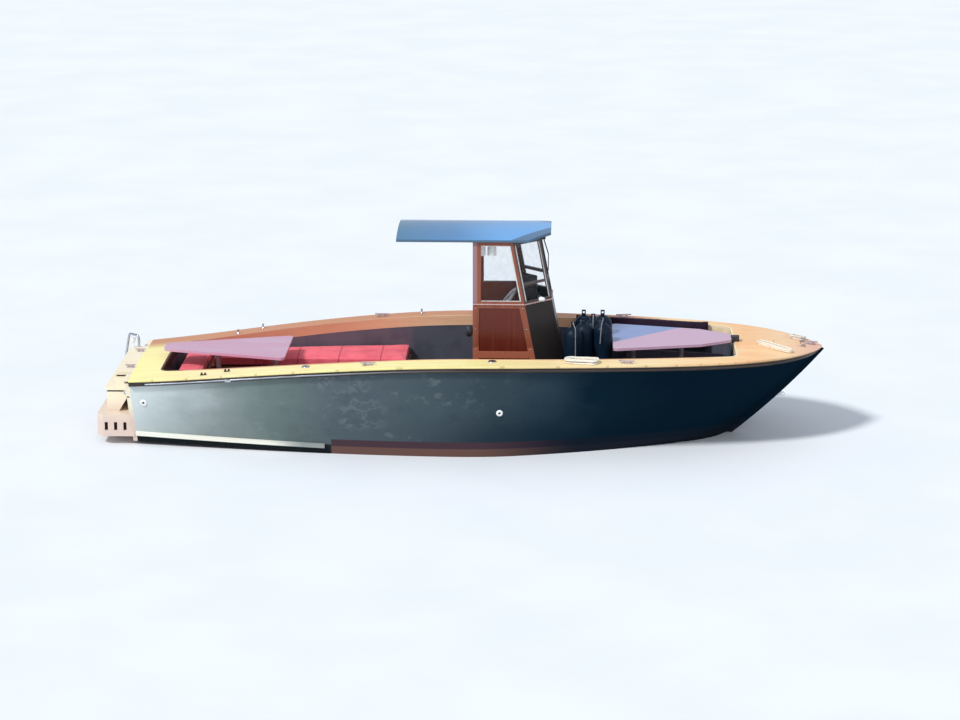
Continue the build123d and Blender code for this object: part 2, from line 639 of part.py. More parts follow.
def build_console():
    outer, inner = console_plan(0), console_plan(CONSOLE_WALL)
    roof_cut = above_roof(0)
    aft_cut = block(-1500, CONSOLE_AFT, -700, 700, 0, 3000)
    panes = []

    def pane(face):
        normal = face.normal_at()
        if (face.center() - Vector(0, 0, face.center().Z)).dot(normal) < 0:
            normal = -normal
        mid = face.translate(-normal * (CONSOLE_WALL / 2 - GLASS / 2))
        return extrude(mid, -GLASS, dir=normal)

    # Side panels: each has one window with an upright aft post and a raked front stile.
    side = leaning_prism([outer[0], outer[1], inner[1], inner[0]]) - roof_cut - aft_cut

    def side_field(low, high, post, stile):
        front_low = CONSOLE_SIDE_BASE - CONSOLE_RAKE * (low - SOLE_Z) - stile
        front_high = CONSOLE_SIDE_BASE - CONSOLE_RAKE * (high - SOLE_Z) - stile
        aft, y = CONSOLE_AFT + post, -CONSOLE_HALF
        return polygon([(aft, y, low), (front_low, y, low), (front_high, y, high), (aft, y, high)])
    window = side_field(SILL_Z, WINDOW_TOP, AFT_POST, FRONT_STILE)
    field_low = side_field(SOLE_Z + FIELD_LOW, SILL_Z - FIELD_MARGIN, FIELD_STILE, FIELD_STILE)
    side -= extrude(window, 80, both=True, dir=(0, 1, 0))
    side -= extrude(field_low, FIELD_DEPTH, dir=(0, 1, 0))
    save("console_side_starboard", side)
    save("console_side_port", side.mirror(Plane.XZ))
    side_pane = extrude(window.translate((0, CONSOLE_WALL / 2 - GLASS / 2, 0)), GLASS, dir=(0, 1, 0))
    panes += both_sides(side_pane)

    # Quarter panels at 45 degrees, with a low and a high pane.
    quarter = leaning_prism([outer[1], outer[2], inner[2], inner[1]]) - roof_cut
    for low, high in ((SILL_Z, BAR_Z - BAR_HIGH / 2), (BAR_Z + BAR_HIGH / 2, WINDOW_TOP)):
        face, hole = panel_hole(outer[1], outer[2], low, high, CORNER_STILE)
        quarter -= hole
        panes += both_sides(pane(face))
    save("console_quarter_starboard", quarter)
    save("console_quarter_port", quarter.mirror(Plane.XZ))

    front = leaning_prism([outer[2], outer[3], inner[3], inner[2]]) - roof_cut
    for low, high in ((SILL_Z, BAR_Z - BAR_HIGH / 2), (BAR_Z + BAR_HIGH / 2, WINDOW_TOP)):
        face, hole = panel_hole(outer[2], outer[3], low, high, CORNER_STILE)
        front -= hole
        panes.append(pane(face))
    save("console_front", front)
    save("console_glass", Compound(children=panes))

    # Roof: cambered slab with clipped front corners.
    plan = [(ROOF_AFT, -ROOF_HALF), (ROOF_CORNER_X, -ROOF_HALF), (ROOF_FWD, -ROOF_CORNER_HALF),
            (ROOF_FWD, ROOF_CORNER_HALF), (ROOF_CORNER_X, ROOF_HALF), (ROOF_AFT, ROOF_HALF)]
    slab = above_roof(0) - above_roof(-ROOF_THICK)
    roof = extrude(polygon([(x, y, 2000) for x, y in plan]), 600, dir=(0, 0, 1)) & slab
    save("roof", roof)

    # Helm desk fitted to the inside of the console.
    desk = polygon([(DASH_AFT, 0, DASH_LOW), (DASH_AFT - 40, 0, DASH_LOW + 150), (DASH_AFT + DASH_SLOPE, 0, DASH_TOP),
                    (DASH_AFT + DASH_DEPTH, 0, DASH_TOP), (DASH_AFT + DASH_DEPTH + 60, 0, DASH_LOW)])
    desk = extrude(desk, 600, both=True, dir=(0, 1, 0))
    desk &= leaning_prism(console_plan(CONSOLE_WALL + SEAT))
    face_mid = Vector(DASH_AFT + (DASH_SLOPE - 40) / 2, 0, (DASH_LOW + 150 + DASH_TOP) / 2)
    along = Vector(DASH_SLOPE + 40, 0, DASH_TOP - DASH_LOW - 150).normalized()
    normal = Vector(-along.Z, 0, along.X)
    shaft_plane = Plane(face_mid, x_dir=(0, 1, 0), z_dir=normal)
    bore = Cylinder(WHEEL_SHAFT_R + WHEEL_SHAFT_GAP, 2 * WHEEL_SHAFT_IN, align=FOOT)
    bore = shaft_plane * Pos(0, 0, -WHEEL_SHAFT_IN - 4) * bore
    save("helm_desk", desk - bore)

    wheel = Pos(0, 0, WHEEL_STANDOFF) * Torus(WHEEL_R - WHEEL_RIM, WHEEL_RIM)
    wheel += Pos(0, 0, WHEEL_STANDOFF - 30) * Cylinder(HUB_R, 36, align=FOOT)
    wheel += Pos(0, 0, -WHEEL_SHAFT_IN) * Cylinder(WHEEL_SHAFT_R, WHEEL_SHAFT_IN + WHEEL_STANDOFF, align=FOOT)
    for index in range(3):
        spoke = Pos((WHEEL_R - WHEEL_RIM) / 2, 0, 0) * Box(WHEEL_R - WHEEL_RIM, 26, 8)
        wheel += Pos(0, 0, WHEEL_STANDOFF - 12) * Rot(0, 0, 90 + 120 * index) * spoke
    save("steering_wheel", shaft_plane * wheel)
    print("wheel axis", tuple(round(v, 5) for v in normal), "at", tuple(round(v, 2) for v in face_mid))

    lever_base = shaft_plane * Pos(-300, 0, SEAT) * (Box(70, 110, 36, align=FOOT))
    lever = shaft_plane * Pos(-300, 0, 36) * Rot(20, 0, 0) * Cylinder(9, 130, align=FOOT)
    knob = shaft_plane * Pos(-300, 0, 36) * Rot(20, 0, 0) * Pos(0, 0, 130) * Sphere(21)
    save("throttle", lever_base + lever + knob)


def build_fenders():
    top, shoulder, nose = FENDER_LONG, FENDER_R, EYE_WIDE / 2
    profile = Face(Wire([
        Line((0, 0), (0, top)), Line((0, top), (nose, top)),
        ThreePointArc((nose, top), (0.8 * FENDER_R, top - 0.38 * shoulder), (FENDER_R, top - shoulder)),
        Line((FENDER_R, top - shoulder), (FENDER_R, shoulder)),
        ThreePointArc((FENDER_R, shoulder), (0.8 * FENDER_R, 0.38 * shoulder), (nose, 0)), Line((nose, 0), (0, 0)),
    ]))
    eye = Pos(0, top + (EYE_HIGH - SINK) / 2, 0) * Box(EYE_WIDE, EYE_HIGH + SINK, EYE_DEEP)
    eye -= Pos(0, top + 0.57 * EYE_HIGH, 0) * Cylinder(EYELET_R, 2 * EYE_DEEP)
    fender = Rot(90, 0, 0) * (revolve(profile, Axis.Y) + eye)
    save("fenders", Compound(children=[Pos(x, y, SOLE_Z + SEAT) * fender for x, y in FENDERS]))


def build_fittings(deck):
    fittings = []
    for x, y, turn, long in CLEATS + AFT_CLEATS:
        on_step = (x, y, turn, long) in AFT_CLEATS
        z = STEPS[-1][1] + SEAT if on_step else resting_z(deck, x, y, 17)
        body = Box(0.7 * long, 34, 8, align=FOOT)
        for post in (-0.19 * long, 0.19 * long):
            body += Pos(post, 0, 0) * Cylinder(10, CLEAT_HIGH, align=FOOT)
        body += Pos(0, 0, CLEAT_HIGH) * Rot(0, 90, 0) * Cylinder(8, long)
        cleat = Pos(x, y, z) * Rot(0, 0, turn) * body
        fittings.append(cleat if on_step else (cleat - Pos(0, 0, SEAT) * deck).solids().sort_by(SortBy.VOLUME)[-1])
    save("cleats", Compound(children=fittings))

    x, z = STEM_EYE_X, STEM_EYE_Z
    high, low = (x, 0, z + EYE_R), (x, 0, z - EYE_R)
    eye = extrude(Face(Wire([
        Line((x - 60, 0, z + EYE_R), high), ThreePointArc(high, (x + EYE_R, 0, z), low),
        Line(low, (x - 120, 0, z - EYE_R)), Line((x - 120, 0, z - EYE_R), (x - 60, 0, z + EYE_R)),
    ])), EYE_THICK / 2, both=True, dir=(0, 1, 0))
    bore = Pos(x, 0, z) * Rot(90, 0, 0) * Cylinder(EYE_BORE_R, 60)
    save("bow_eye", (eye - stem_post() - bore).solids().sort_by(SortBy.VOLUME)[-1])

    eyes = []
    for y in (-STERN_EYE_Y, STERN_EYE_Y):
        x = lean(STATIONS[0], STERN_EYE_Z) - TRANSOM_THICK
        plate = Pos(x - 22, y, STERN_EYE_Z) * Box(70, EYE_THICK, 44)
        hole = Pos(x - 32, y, STERN_EYE_Z) * Rot(90, 0, 0) * Cylinder(EYE_BORE_R, 60)
        eyes.append((plate - OUTER - transom_solid() - hole).solids().sort_by(SortBy.VOLUME)[-1])
    save("stern_eyes", Compound(children=eyes))

    lamp = Cylinder(9, 70, align=FOOT) + Pos(0, 0, 70) * Cylinder(24, 34, align=FOOT)
    lamp += Pos(0, 0, 104) * Cylinder(27, 10, align=FOOT)
    save("stern_lamp", Pos(LAMP_X, LAMP_Y, STEPS[-1][1] + SEAT) * lamp)

    speakers = []
    for x in (205, 320):
        speaker = Pos(0, 0, -60) * Cylinder(SPEAKER_R, 110) + Pos(0, 0, -10) * Cylinder(9, 300, align=FOOT)
        speakers.append(Pos(x, -CONSOLE_HALF + CONSOLE_WALL + 75, 2140) * speaker - above_roof(SEAT))
    save("speakers", Compound(children=speakers))


def rope_solid(deck, name, x, y, long, wide, high, turn):
    """Outer shape of a coil or bundle of rope that lies on the deck."""
    low = Ellipse(long / 2, wide / 2)
    top = Ellipse(long / 2 * 0.8, wide / 2 * 0.7)
    heap = loft([low, Pos(0, 0, high) * top])
    heap = Pos(x, y, resting_z(deck, x, y, 5) - ROPE_BED) * Rot(0, 0, turn) * heap
    save(name, (heap - Pos(0, 0, SEAT) * deck).solids().sort_by(SortBy.VOLUME)[-1])


def build_lanyards():
    """Thin lines that start at the side of a fender's eye and hang down."""
    for name, fender, corners in LANYARDS:
        x, y = FENDERS[fender]
        start = Vector(x, y - EYE_DEEP / 2 - SEAT, SOLE_Z + SEAT + FENDER_LONG + EYE_HIGH - LANYARD_R - 1)
        path = FilletPolyline(start, *[Vector(*corner) for corner in corners], radius=LANYARD_BEND)
        save(name, sweep(Plane(start, z_dir=path % 0) * Circle(LANYARD_R), path))


def build_hatch(lid, deck):
    """Anchor locker lid, flush in the foredeck, on two butt hinges along its forward edge."""
    axis_x = HATCH_AFT + HATCH_LONG - HATCH_GAP / 2
    seat = resting_z(deck, axis_x + 24, HINGE_Y, 22)
    axis_z = seat + HINGE_R + 2
    fixed = []
    for y in (-HINGE_Y, HINGE_Y):
        pin = Pos(axis_x, y, axis_z) * Rot(90, 0, 0)
        knuckle = pin * Cylinder(HINGE_R, 24)
        leaf = block(axis_x - 46, axis_x, y - 12, y + 12, seat - 16, axis_z - 2)
        leaf = (leaf - pin * Cylinder(HINGE_R, 60)) + knuckle
        lid = lid + (leaf - pin * Cylinder(HINGE_PIN_R + SHAFT_GAP, 60))
        barrel = pin * Cylinder(HINGE_PIN_R, 80)
        for side in (-1, 1):
            barrel += Pos(axis_x, y + side * 26, axis_z) * Rot(90, 0, 0) * Cylinder(HINGE_R, 22)
            barrel += block(axis_x + 3, axis_x + 44, y + side * 26 - 11, y + side * 26 + 11, seat, axis_z - 2)
        fixed.append(barrel)
    save("locker_hatch", lid)
    save("hatch_hinges", Compound(children=fixed))
    print("hatch axis x", axis_x, "z", axis_z)


def transom_solid():
    section = polygon([(lean(STATIONS[0], z), y, z) for y, z in outer_section(STATIONS[0])])
    return extrude(section, TRANSOM_THICK, dir=(-1, 0, 0))


if __name__ == "__main__":
    os.makedirs("parts", exist_ok=True)
    build_hull()
    save("stem", stem_post())
    DECK = build_deck()
    build_stern(DECK)
    build_below()
    build_seats()
    table("aft", AFT_TABLE, AFT_TABLE_Z, AFT_PEDESTALS, SOLE_Z)
    table("bow", BOW_TABLE, BOW_TABLE_Z, BOW_PEDESTALS, SOLE_Z)
    build_console()
    build_fenders()
    build_lanyards()
    build_fittings(DECK)
    for row in ROPES:
        rope_solid(DECK, *row)
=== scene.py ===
"""Looks of the wooden speedboat: paint, varnish, padded seats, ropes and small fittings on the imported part.

Metres, in the part's own frame: +X forward, +Y to port, +Z up, floor on the waterplane.
"""
import math
from functools import partial

import bmesh
import bpy
from mathutils import Matrix, Vector


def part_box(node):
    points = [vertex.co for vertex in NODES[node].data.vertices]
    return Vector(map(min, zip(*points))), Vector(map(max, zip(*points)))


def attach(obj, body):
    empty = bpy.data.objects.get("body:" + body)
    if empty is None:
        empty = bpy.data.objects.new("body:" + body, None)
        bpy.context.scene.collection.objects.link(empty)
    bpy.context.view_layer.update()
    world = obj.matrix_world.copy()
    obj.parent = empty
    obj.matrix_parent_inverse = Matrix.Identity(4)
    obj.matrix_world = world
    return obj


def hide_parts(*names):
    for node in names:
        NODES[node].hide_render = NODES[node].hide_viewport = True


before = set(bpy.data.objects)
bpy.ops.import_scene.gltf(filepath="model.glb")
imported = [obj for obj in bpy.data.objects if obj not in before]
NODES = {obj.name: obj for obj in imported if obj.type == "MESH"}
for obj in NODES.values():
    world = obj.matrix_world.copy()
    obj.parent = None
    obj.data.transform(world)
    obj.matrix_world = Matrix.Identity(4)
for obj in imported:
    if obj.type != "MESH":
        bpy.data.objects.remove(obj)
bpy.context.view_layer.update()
HULL = "hull"
SCENE = bpy.context.scene
FORWARD, TO_PORT, UP = Vector((1, 0, 0)), Vector((0, 1, 0)), Vector((0, 0, 1))

# Camera
VIEW_TARGET = Vector((0.18, 0, 0.777))
VIEW_DISTANCE = 30
VIEW_AZIMUTH = math.radians(2.0)
VIEW_ELEVATION = math.radians(14.35)
VIEW_LENS, VIEW_SENSOR, VIEW_REACH = 103.5, 36, 200

# Floor, sky and lamps. columns of LAMPS: name, strength, width in degrees, direction of the light
FLOOR_HALF = 60
SKY = (0.80, 0.88, 1.0)
SKY_STRENGTH = 0.62
LAMPS = [("sun", 2.6, 9, (0.55, 0.50, -0.80)), ("fill", 0.5, 60, (-0.4, 0.8, -0.35))]

# Console: plan lines of its leaning faces at the sole, rake, and heights of its panels and windows
SOLE_Z = 0.280
SILL_Z = 1.545
WINDOW_TOP = 2.150
CONSOLE_AFT = 0.120
CONSOLE_HALF = 0.490
CONSOLE_SIDE_BASE = 0.912
CONSOLE_FRONT_HALF = 0.205
CONSOLE_RAKE = 0.195
CONSOLE_CORNER = (CONSOLE_SIDE_BASE, -CONSOLE_HALF)
CONSOLE_NOSE = (CONSOLE_SIDE_BASE + CONSOLE_HALF - CONSOLE_FRONT_HALF, -CONSOLE_FRONT_HALF)
CONSOLE_QUARTER = (CONSOLE_CORNER, CONSOLE_NOSE)
CONSOLE_FRONT = (CONSOLE_NOSE, (CONSOLE_NOSE[0], -CONSOLE_NOSE[1]))

# Roof. Its front corners are cut off from ROOF_CUT_X forward, at this slope, and shaded along the cut
ROOF_EDGE_Z = 2.190
ROOF_CAMBER = 0.062
ROOF_HALF = 0.520
ROOF_CUT_X = 0.716
ROOF_CUT_SLOPE = 0.957
ROOF_SHADE_WIDE = 0.20
ROOF_SHADE_SOFT = 0.05

# Painted shadow under the treads of the stern steps
STEP_SHADOW_TOPS = [0.562, 0.728]
STEP_SHADOW_HIGH, STEP_SHADOW_X = 0.017, -3.52

# Three slots in each side of the swim platform
PLATFORM_HALF = 0.760
SLOT_FIRST, SLOT_PITCH = -3.795, 0.100
SLOT_WIDE, SLOT_DEEP, SLOT_SKIN = 0.034, 0.040, 0.001
SLOT_LOW, SLOT_HIGH = 0.160, 0.250

# Places where a finish changes: where the change starts and where it is full
BOOT_TOP_Z = (0.169, 0.161)
BOOT_MID_Z = (0.082, 0.094)
BAND_AFT_X = (-1.37, -1.35)
BAND_SHADE_X = (0.1, 1.3)
UNDER_RAIL_SHADOW_Z = (0.12, 0.09)
SMUDGE_AFT_X = (-3.0, -2.4)
SMUDGE_FORE_X = (-0.4, -1.2)
PALE_SCUFF_X = (0.9, -0.6)
DARK_SCUFF_X = (-2.8, -1.5)
LOW_SHADE_Z = (0.62, 0.15)
LOW_SHADE_X = (-1.0, 0.8)
HULL_COAT_X = (0.2, -1.6)
STEP_PINK_Z = (0.50, 0.24)
STEP_PALER_Z = (0.3, 0.6)
RAIL_WORN_X = (-1.85, -1.35)
STRIP_HIGHLIGHT_FADE_X = (-2.6, 0.4)
DECK_RED_Y = (0.35, 0.75)
DECK_RED_X = (2.4, 1.8)
DECK_PALE_Y = (0.7, 0.3)
PANEL_FIELD_Y = 0.486
PANEL_LIT_INSIDE_Y = 0.464
PANEL_LIT_INSIDE_X = (0.62, 0.52)
POST_HIGHLIGHT_Z = (SILL_Z - 0.04, SILL_Z)
POST_HIGHLIGHT_X = (CONSOLE_AFT + 0.052, CONSOLE_AFT + 0.040)
LOW_FRAME_Z = (1.06, 1.02)
QUARTER_SHADE_Z = (1.50, 1.56)
LINING_BOUNCE_X = (-0.62, -0.58)
ROOF_SKIN = (0.001, 0.003)
ROOF_LIP_HIGH = (0.022, 0.029)
TABLE_MAUVE_X = (-0.1, 0.1)
TABLE_BOW_X = (0.5, 0.6)
TABLE_SHADOW_X, TABLE_SHADOW_Y, TABLE_SHADOW_SLOPE = 1.64, -0.27, 0.94

# Noise of the finishes: the range that it mostly keeps to, and the run of the grain in each kind of timber
NOISE_RANGE = (0.3, 0.7)
LONG_GRAIN = {"scale": 26, "detail": 6, "stretch": (0.06, 1, 1), "rough": 0.6}
CROSS_GRAIN = {"scale": 26, "detail": 6, "stretch": (1, 0.06, 1), "rough": 0.6}
UPRIGHT_GRAIN = {"scale": 30, "detail": 6, "stretch": (1, 1, 0.08), "rough": 0.6}
FIGURE_SHIFT = (5, 2, 0)
PLANK_WIDE = 0.052
PLANK_TONE_STEP = 0.377
JOINT_FROM = 0.462
WEAVE_PER_METRE = 520

# Colours as written on the surface. A pair is a colour and its worn or darker tone; the cloths also put that
# tone in their sewn channels, and the ropes in the grooves between strands, as painted shade
SMUDGE = (0.42, 0.45, 0.44)
MAROON, BOOT_BROWN = (0.062, 0.036, 0.046), (0.13, 0.070, 0.058)
# Painted shadow under the chine rail aft; the rail strips also use it for their dark marks
RAIL_SHADOW_AND_TARNISH = (0.012, 0.016, 0.018)
VARNISH_PALE = (0.93, 0.72, 0.38)
DECK_RED, DECK_GRAIN = (0.54, 0.21, 0.11), (0.62, 0.30, 0.12)
CAULK = (0.34, 0.16, 0.07)
PALE_WOOD, PALE_PINK = (0.86, 0.78, 0.60), (0.66, 0.52, 0.45)
STEP_STAIN = (0.52, 0.36, 0.24)
STRIP_HIGHLIGHT, STRIP_DULL = (0.34, 0.36, 0.40), (0.075, 0.052, 0.045)
MAHOGANY, MAHOGANY_DARK = (0.112, 0.015, 0.007), (0.020, 0.011, 0.009)
DESK_BLACK = (0.012, 0.008, 0.008)
QUARTER_SHADE, QUARTER_SHADE_RED = (0.034, 0.028, 0.026), (0.058, 0.034, 0.026)
STILE_SHADE_GREY = (0.100, 0.085, 0.085)
FRAME_WOOD, FRAME_HIGHLIGHT, FRAME_BRIGHT = (0.27, 0.075, 0.040), (0.30, 0.19, 0.21), (0.44, 0.135, 0.075)
CREAM, RAIL_GREY = (0.84, 0.82, 0.72), (0.28, 0.30, 0.29)
LINING_RED_BOUNCE, LINING_GREY, LINING_SCUFF = (0.118, 0.102, 0.130), (0.084, 0.092, 0.122), (0.030, 0.026, 0.036)
SOLE_WOOD = (0.20, 0.11, 0.06)
CORAL, CORAL_DARK = (0.90, 0.16, 0.20), (0.60, 0.075, 0.115)
# Coral cloth painted as it looks in shade, for the bow cushions and backrests
CORAL_IN_SHADE, CORAL_IN_SHADE_WORN = (0.015, 0.005, 0.022), (0.022, 0.007, 0.018)
TABLE_PINK, TABLE_MAUVE, TABLE_SHADOW_BLUE = (0.60, 0.30, 0.42), (0.58, 0.36, 0.48), (0.165, 0.27, 0.53)
ROOF_LIP, ROOF_UNDER = (0.075, 0.130, 0.205), (0.020, 0.028, 0.034)
GLASS_TINT = (0.12, 0.18, 0.21)
RUBBER_BLACK, RUBBER_WORN = (0.016, 0.012, 0.011), (0.046, 0.034, 0.030)
NAVY, NAVY_WORN = (0.0028, 0.0125, 0.029), (0.0055, 0.014, 0.026)
ROPE_CREAM, CREAM_GROOVE_SHADE = (0.95, 0.91, 0.82), (0.62, 0.52, 0.38)
ROPE_WHITE, WHITE_GROOVE_SHADE = (0.92, 0.88, 0.82), (0.45, 0.36, 0.28)
ROPE_GREY, GREY_GROOVE_SHADE = (0.30, 0.31, 0.33), (0.12, 0.12, 0.14)
PEDESTAL_GREY, PEDESTAL_WORN = (0.52, 0.42, 0.44), (0.38, 0.30, 0.32)
BLACK, BLACK_WORN = (0.012, 0.012, 0.014), (0.035, 0.035, 0.04)
STEEL, STEEL_DULL = (0.62, 0.62, 0.65), (0.45, 0.46, 0.5)
WHITE, WHITE_DULL = (0.86, 0.87, 0.86), (0.70, 0.72, 0.72)
ENGINE_GREY, ENGINE_DARK = (0.22, 0.24, 0.26), (0.12, 0.13, 0.15)
BRONZE, BRONZE_DARK = (0.45, 0.28, 0.12), (0.26, 0.15, 0.06)
TRIM_PINK, TRIM_WORN = (0.60, 0.40, 0.37), (0.44, 0.26, 0.22)
BEAD_GREY, BEAD_WORN = (0.72, 0.70, 0.68), (0.50, 0.46, 0.44)
HOOD_BLACK, HOOD_BROWN = (0.016, 0.012, 0.012), (0.030, 0.020, 0.016)
FLOOR, FLOOR_SHADE = (0.80, 0.82, 0.84), (0.76, 0.79, 0.82)

# Colour of the topside along the boat: dark paint, pale at the stern with painted sunlight and nearly black
# at the bow with painted shade. columns: x, colour
HULL_PAINTED_LIGHT_TONES = [
    (-3.45, (0.60, 0.66, 0.65)), (-3.05, (0.43, 0.49, 0.49)), (-2.63, (0.25, 0.29, 0.29)),
    (-2.09, (0.142, 0.188, 0.178)), (-1.30, (0.088, 0.114, 0.130)), (-0.50, (0.066, 0.092, 0.106)),
    (0.10, (0.048, 0.070, 0.084)), (0.90, (0.022, 0.042, 0.058)), (1.50, (0.0045, 0.0170, 0.029)),
    (2.20, (0.0030, 0.0120, 0.023)),
]
# Tone of the bow, whose darkness is painted shade; it also colours the dark scuffs
BOW_DARK = HULL_PAINTED_LIGHT_TONES[-1][1]
# Colour of the roof from its aft edge: blue-grey paint with a painted sky reflection that brightens it
# forward. columns: x, colour
ROOF_SKY_REFLECTION_TONES = [
    (-0.75, (0.078, 0.185, 0.30)), (-0.10, (0.088, 0.225, 0.43)), (0.35, (0.135, 0.34, 0.64)),
    (0.90, (0.15, 0.37, 0.70)),
]
# Colour of the coaming along the boat: painted shade at the stern end, red-brown along the cockpit and
# painted sunlight round the bow end. columns: x, colour
COAMING_TONES_AND_LIGHT = [
    (-3.30, (0.028, 0.014, 0.012)), (-3.02, (0.030, 0.015, 0.012)), (-2.95, (0.56, 0.25, 0.16)),
    (-1.50, (0.62, 0.31, 0.19)), (-0.30, (0.88, 0.56, 0.34)), (2.55, (0.80, 0.50, 0.30)),
    (2.75, (0.90, 0.76, 0.50)), (3.10, (0.90, 0.76, 0.50)),
]
# Colour of the deck along the boat. columns: x, colour
DECK_TONES = [
    (-3.50, (0.95, 0.90, 0.38)), (-2.60, (0.94, 0.82, 0.44)), (-1.20, (0.95, 0.88, 0.40)),
    (0.20, (0.95, 0.86, 0.38)), (0.90, (0.92, 0.74, 0.38)), (1.90, (0.93, 0.74, 0.42)),
    (2.60, (0.93, 0.62, 0.32)), (3.10, (0.93, 0.54, 0.27)), (3.45, (0.90, 0.62, 0.36)),
    (3.80, (0.78, 0.48, 0.36)),
]


def maths(operation, swapped=False):
    """A method that adds a Math node to the tree of its Value."""
    def add_node(value, *others):
        terms = (*others, value) if swapped else (value, *others)
        node = value.paint.node("ShaderNodeMath", {"operation": operation}, dict(enumerate(terms)))
        return Value(value.paint, node.outputs[0])
    return add_node


class Value:
    """A number in the node tree. Operators on it add Math nodes."""
    __add__ = __radd__ = maths("ADD")
    __mul__ = __rmul__ = maths("MULTIPLY")
    __sub__, __rsub__ = maths("SUBTRACT"), maths("SUBTRACT", swapped=True)
    __truediv__, __abs__, fract = maths("DIVIDE"), maths("ABSOLUTE"), maths("FRACT")
    __gt__, __lt__ = maths("GREATER_THAN"), maths("LESS_THAN")

    def __init__(self, paint, socket):
        self.paint, self.socket = paint, socket

    def ramp(self, low, high, start=0.0, end=1.0):
        """Smooth change from start to end as the number goes from low to high."""
        limits = {"From Min": low, "From Max": high, "To Min": start, "To Max": end}
        node = self.paint.node("ShaderNodeMapRange", {"interpolation_type": "SMOOTHSTEP"},
                               {"Value": self, **limits})
        return Value(self.paint, node.outputs[0])

    def spread(self, start, end):
        """Smooth change from start to end over the range of a noise."""
        return self.ramp(*NOISE_RANGE, start, end)


class Paint:
    """One finish: a Principled shader, and the nodes that vary it over the surface."""

    def __init__(self, name, **settings):
        self.material = bpy.data.materials.new(name)
        self.material.use_nodes = True
        self.tree = self.material.node_tree
        self.shader = self.tree.nodes["Principled BSDF"]
        for socket, value in settings.items():
            self.shader.inputs[socket.replace("_", " ")].default_value = value
        self.place = self.node("ShaderNodeTexCoord").outputs["Object"]
        parts = self.node("ShaderNodeSeparateXYZ", {}, {"Vector": self.place})
        self.x, self.y, self.z = (Value(self, parts.outputs[axis]) for axis in "XYZ")

    def node(self, kind, settings=None, inputs=None):
        """Add a node: its type, its settings with a ramp's stops among them, and what its sockets get."""
        node = self.tree.nodes.new(kind)
        for key, value in (settings or {}).items():
            if key == "stops":
                stops = node.color_ramp.elements
                for index, (place, colour) in enumerate(value):
                    stop = stops[index] if index < 2 else stops.new(place)
                    stop.position, stop.color = place, (*colour, 1)
            else:
                setattr(node, key, value)
        for key, value in (inputs or {}).items():
            socket = node.inputs[key]
            if isinstance(value, Value):
                value = value.socket
            if isinstance(value, bpy.types.NodeSocket):
                self.tree.links.new(value, socket)
            elif isinstance(value, tuple) and len(value) == 3 and socket.type == "RGBA":
                socket.default_value = (*value, 1.0)
            else:
                socket.default_value = value
        return node

    def feed(self, socket, value):
        """Link a number or colour to a socket of the shader."""
        self.tree.links.new(value.socket if isinstance(value, Value) else value, self.shader.inputs[socket])

    def noise(self, scale, detail=4.0, stretch=(1, 1, 1), rough=0.55, shift=(0, 0, 0)):
        """Cloudy pattern, drawn out along an axis whose stretch is small."""
        mapped = self.node("ShaderNodeMapping", {},
                           {"Vector": self.place, "Scale": stretch, "Location": shift})
        node = self.node("ShaderNodeTexNoise", {}, {"Vector": mapped.outputs[0], "Scale": scale,
                                                    "Detail": detail, "Roughness": rough})
        return Value(self, node.outputs[0])

    def cells(self, scale, stretch):
        """Distance from the middles of scattered cells."""
        mapped = self.node("ShaderNodeMapping", {}, {"Vector": self.place, "Scale": stretch})
        node = self.node("ShaderNodeTexVoronoi", {}, {"Vector": mapped.outputs[0], "Scale": scale})
        return Value(self, node.outputs["Distance"])

    def mix(self, first, second, share):
        """Colour that goes from first to second as share goes from 0 to 1."""
        node = self.node("ShaderNodeMix", {"data_type": "RGBA"}, {0: share, 6: first, 7: second})
        return node.outputs[2]

    def along(self, value, stops):
        """Colour that runs through (number, colour) stops as the value grows."""
        low, high = stops[0][0], stops[-1][0]
        shares = [((number - low) / (high - low), colour) for number, colour in stops]
        shares = [shares[0], shares[-1]] + shares[1:-1]
        ramp = self.node("ShaderNodeValToRGB", {"stops": shares}, {"Fac": (value - low) / (high - low)})
        return ramp.outputs["Color"]

    def planks(self):
        """Fore-and-aft planks: each plank's own tone from 0 to 1, and 1 on the joints between them."""
        across = self.y / PLANK_WIDE
        tone = ((across - across.fract()) * PLANK_TONE_STEP).fract()
        return tone, abs(across.fract() - 0.5) > JOINT_FROM

    def done(self, colour, rough, bump, coat=None):
        """Link what varies over the surface. The bump is its height, depth and strength."""
        raised = self.node("ShaderNodeBump", {}, dict(zip(("Height", "Distance", "Strength"), bump)))
        for socket, value in (("Base Color", colour), ("Roughness", rough), ("Coat Weight", coat),
                              ("Normal", raised.outputs[0])):
            if value is not None:
                self.feed(socket, value)
        return self.material


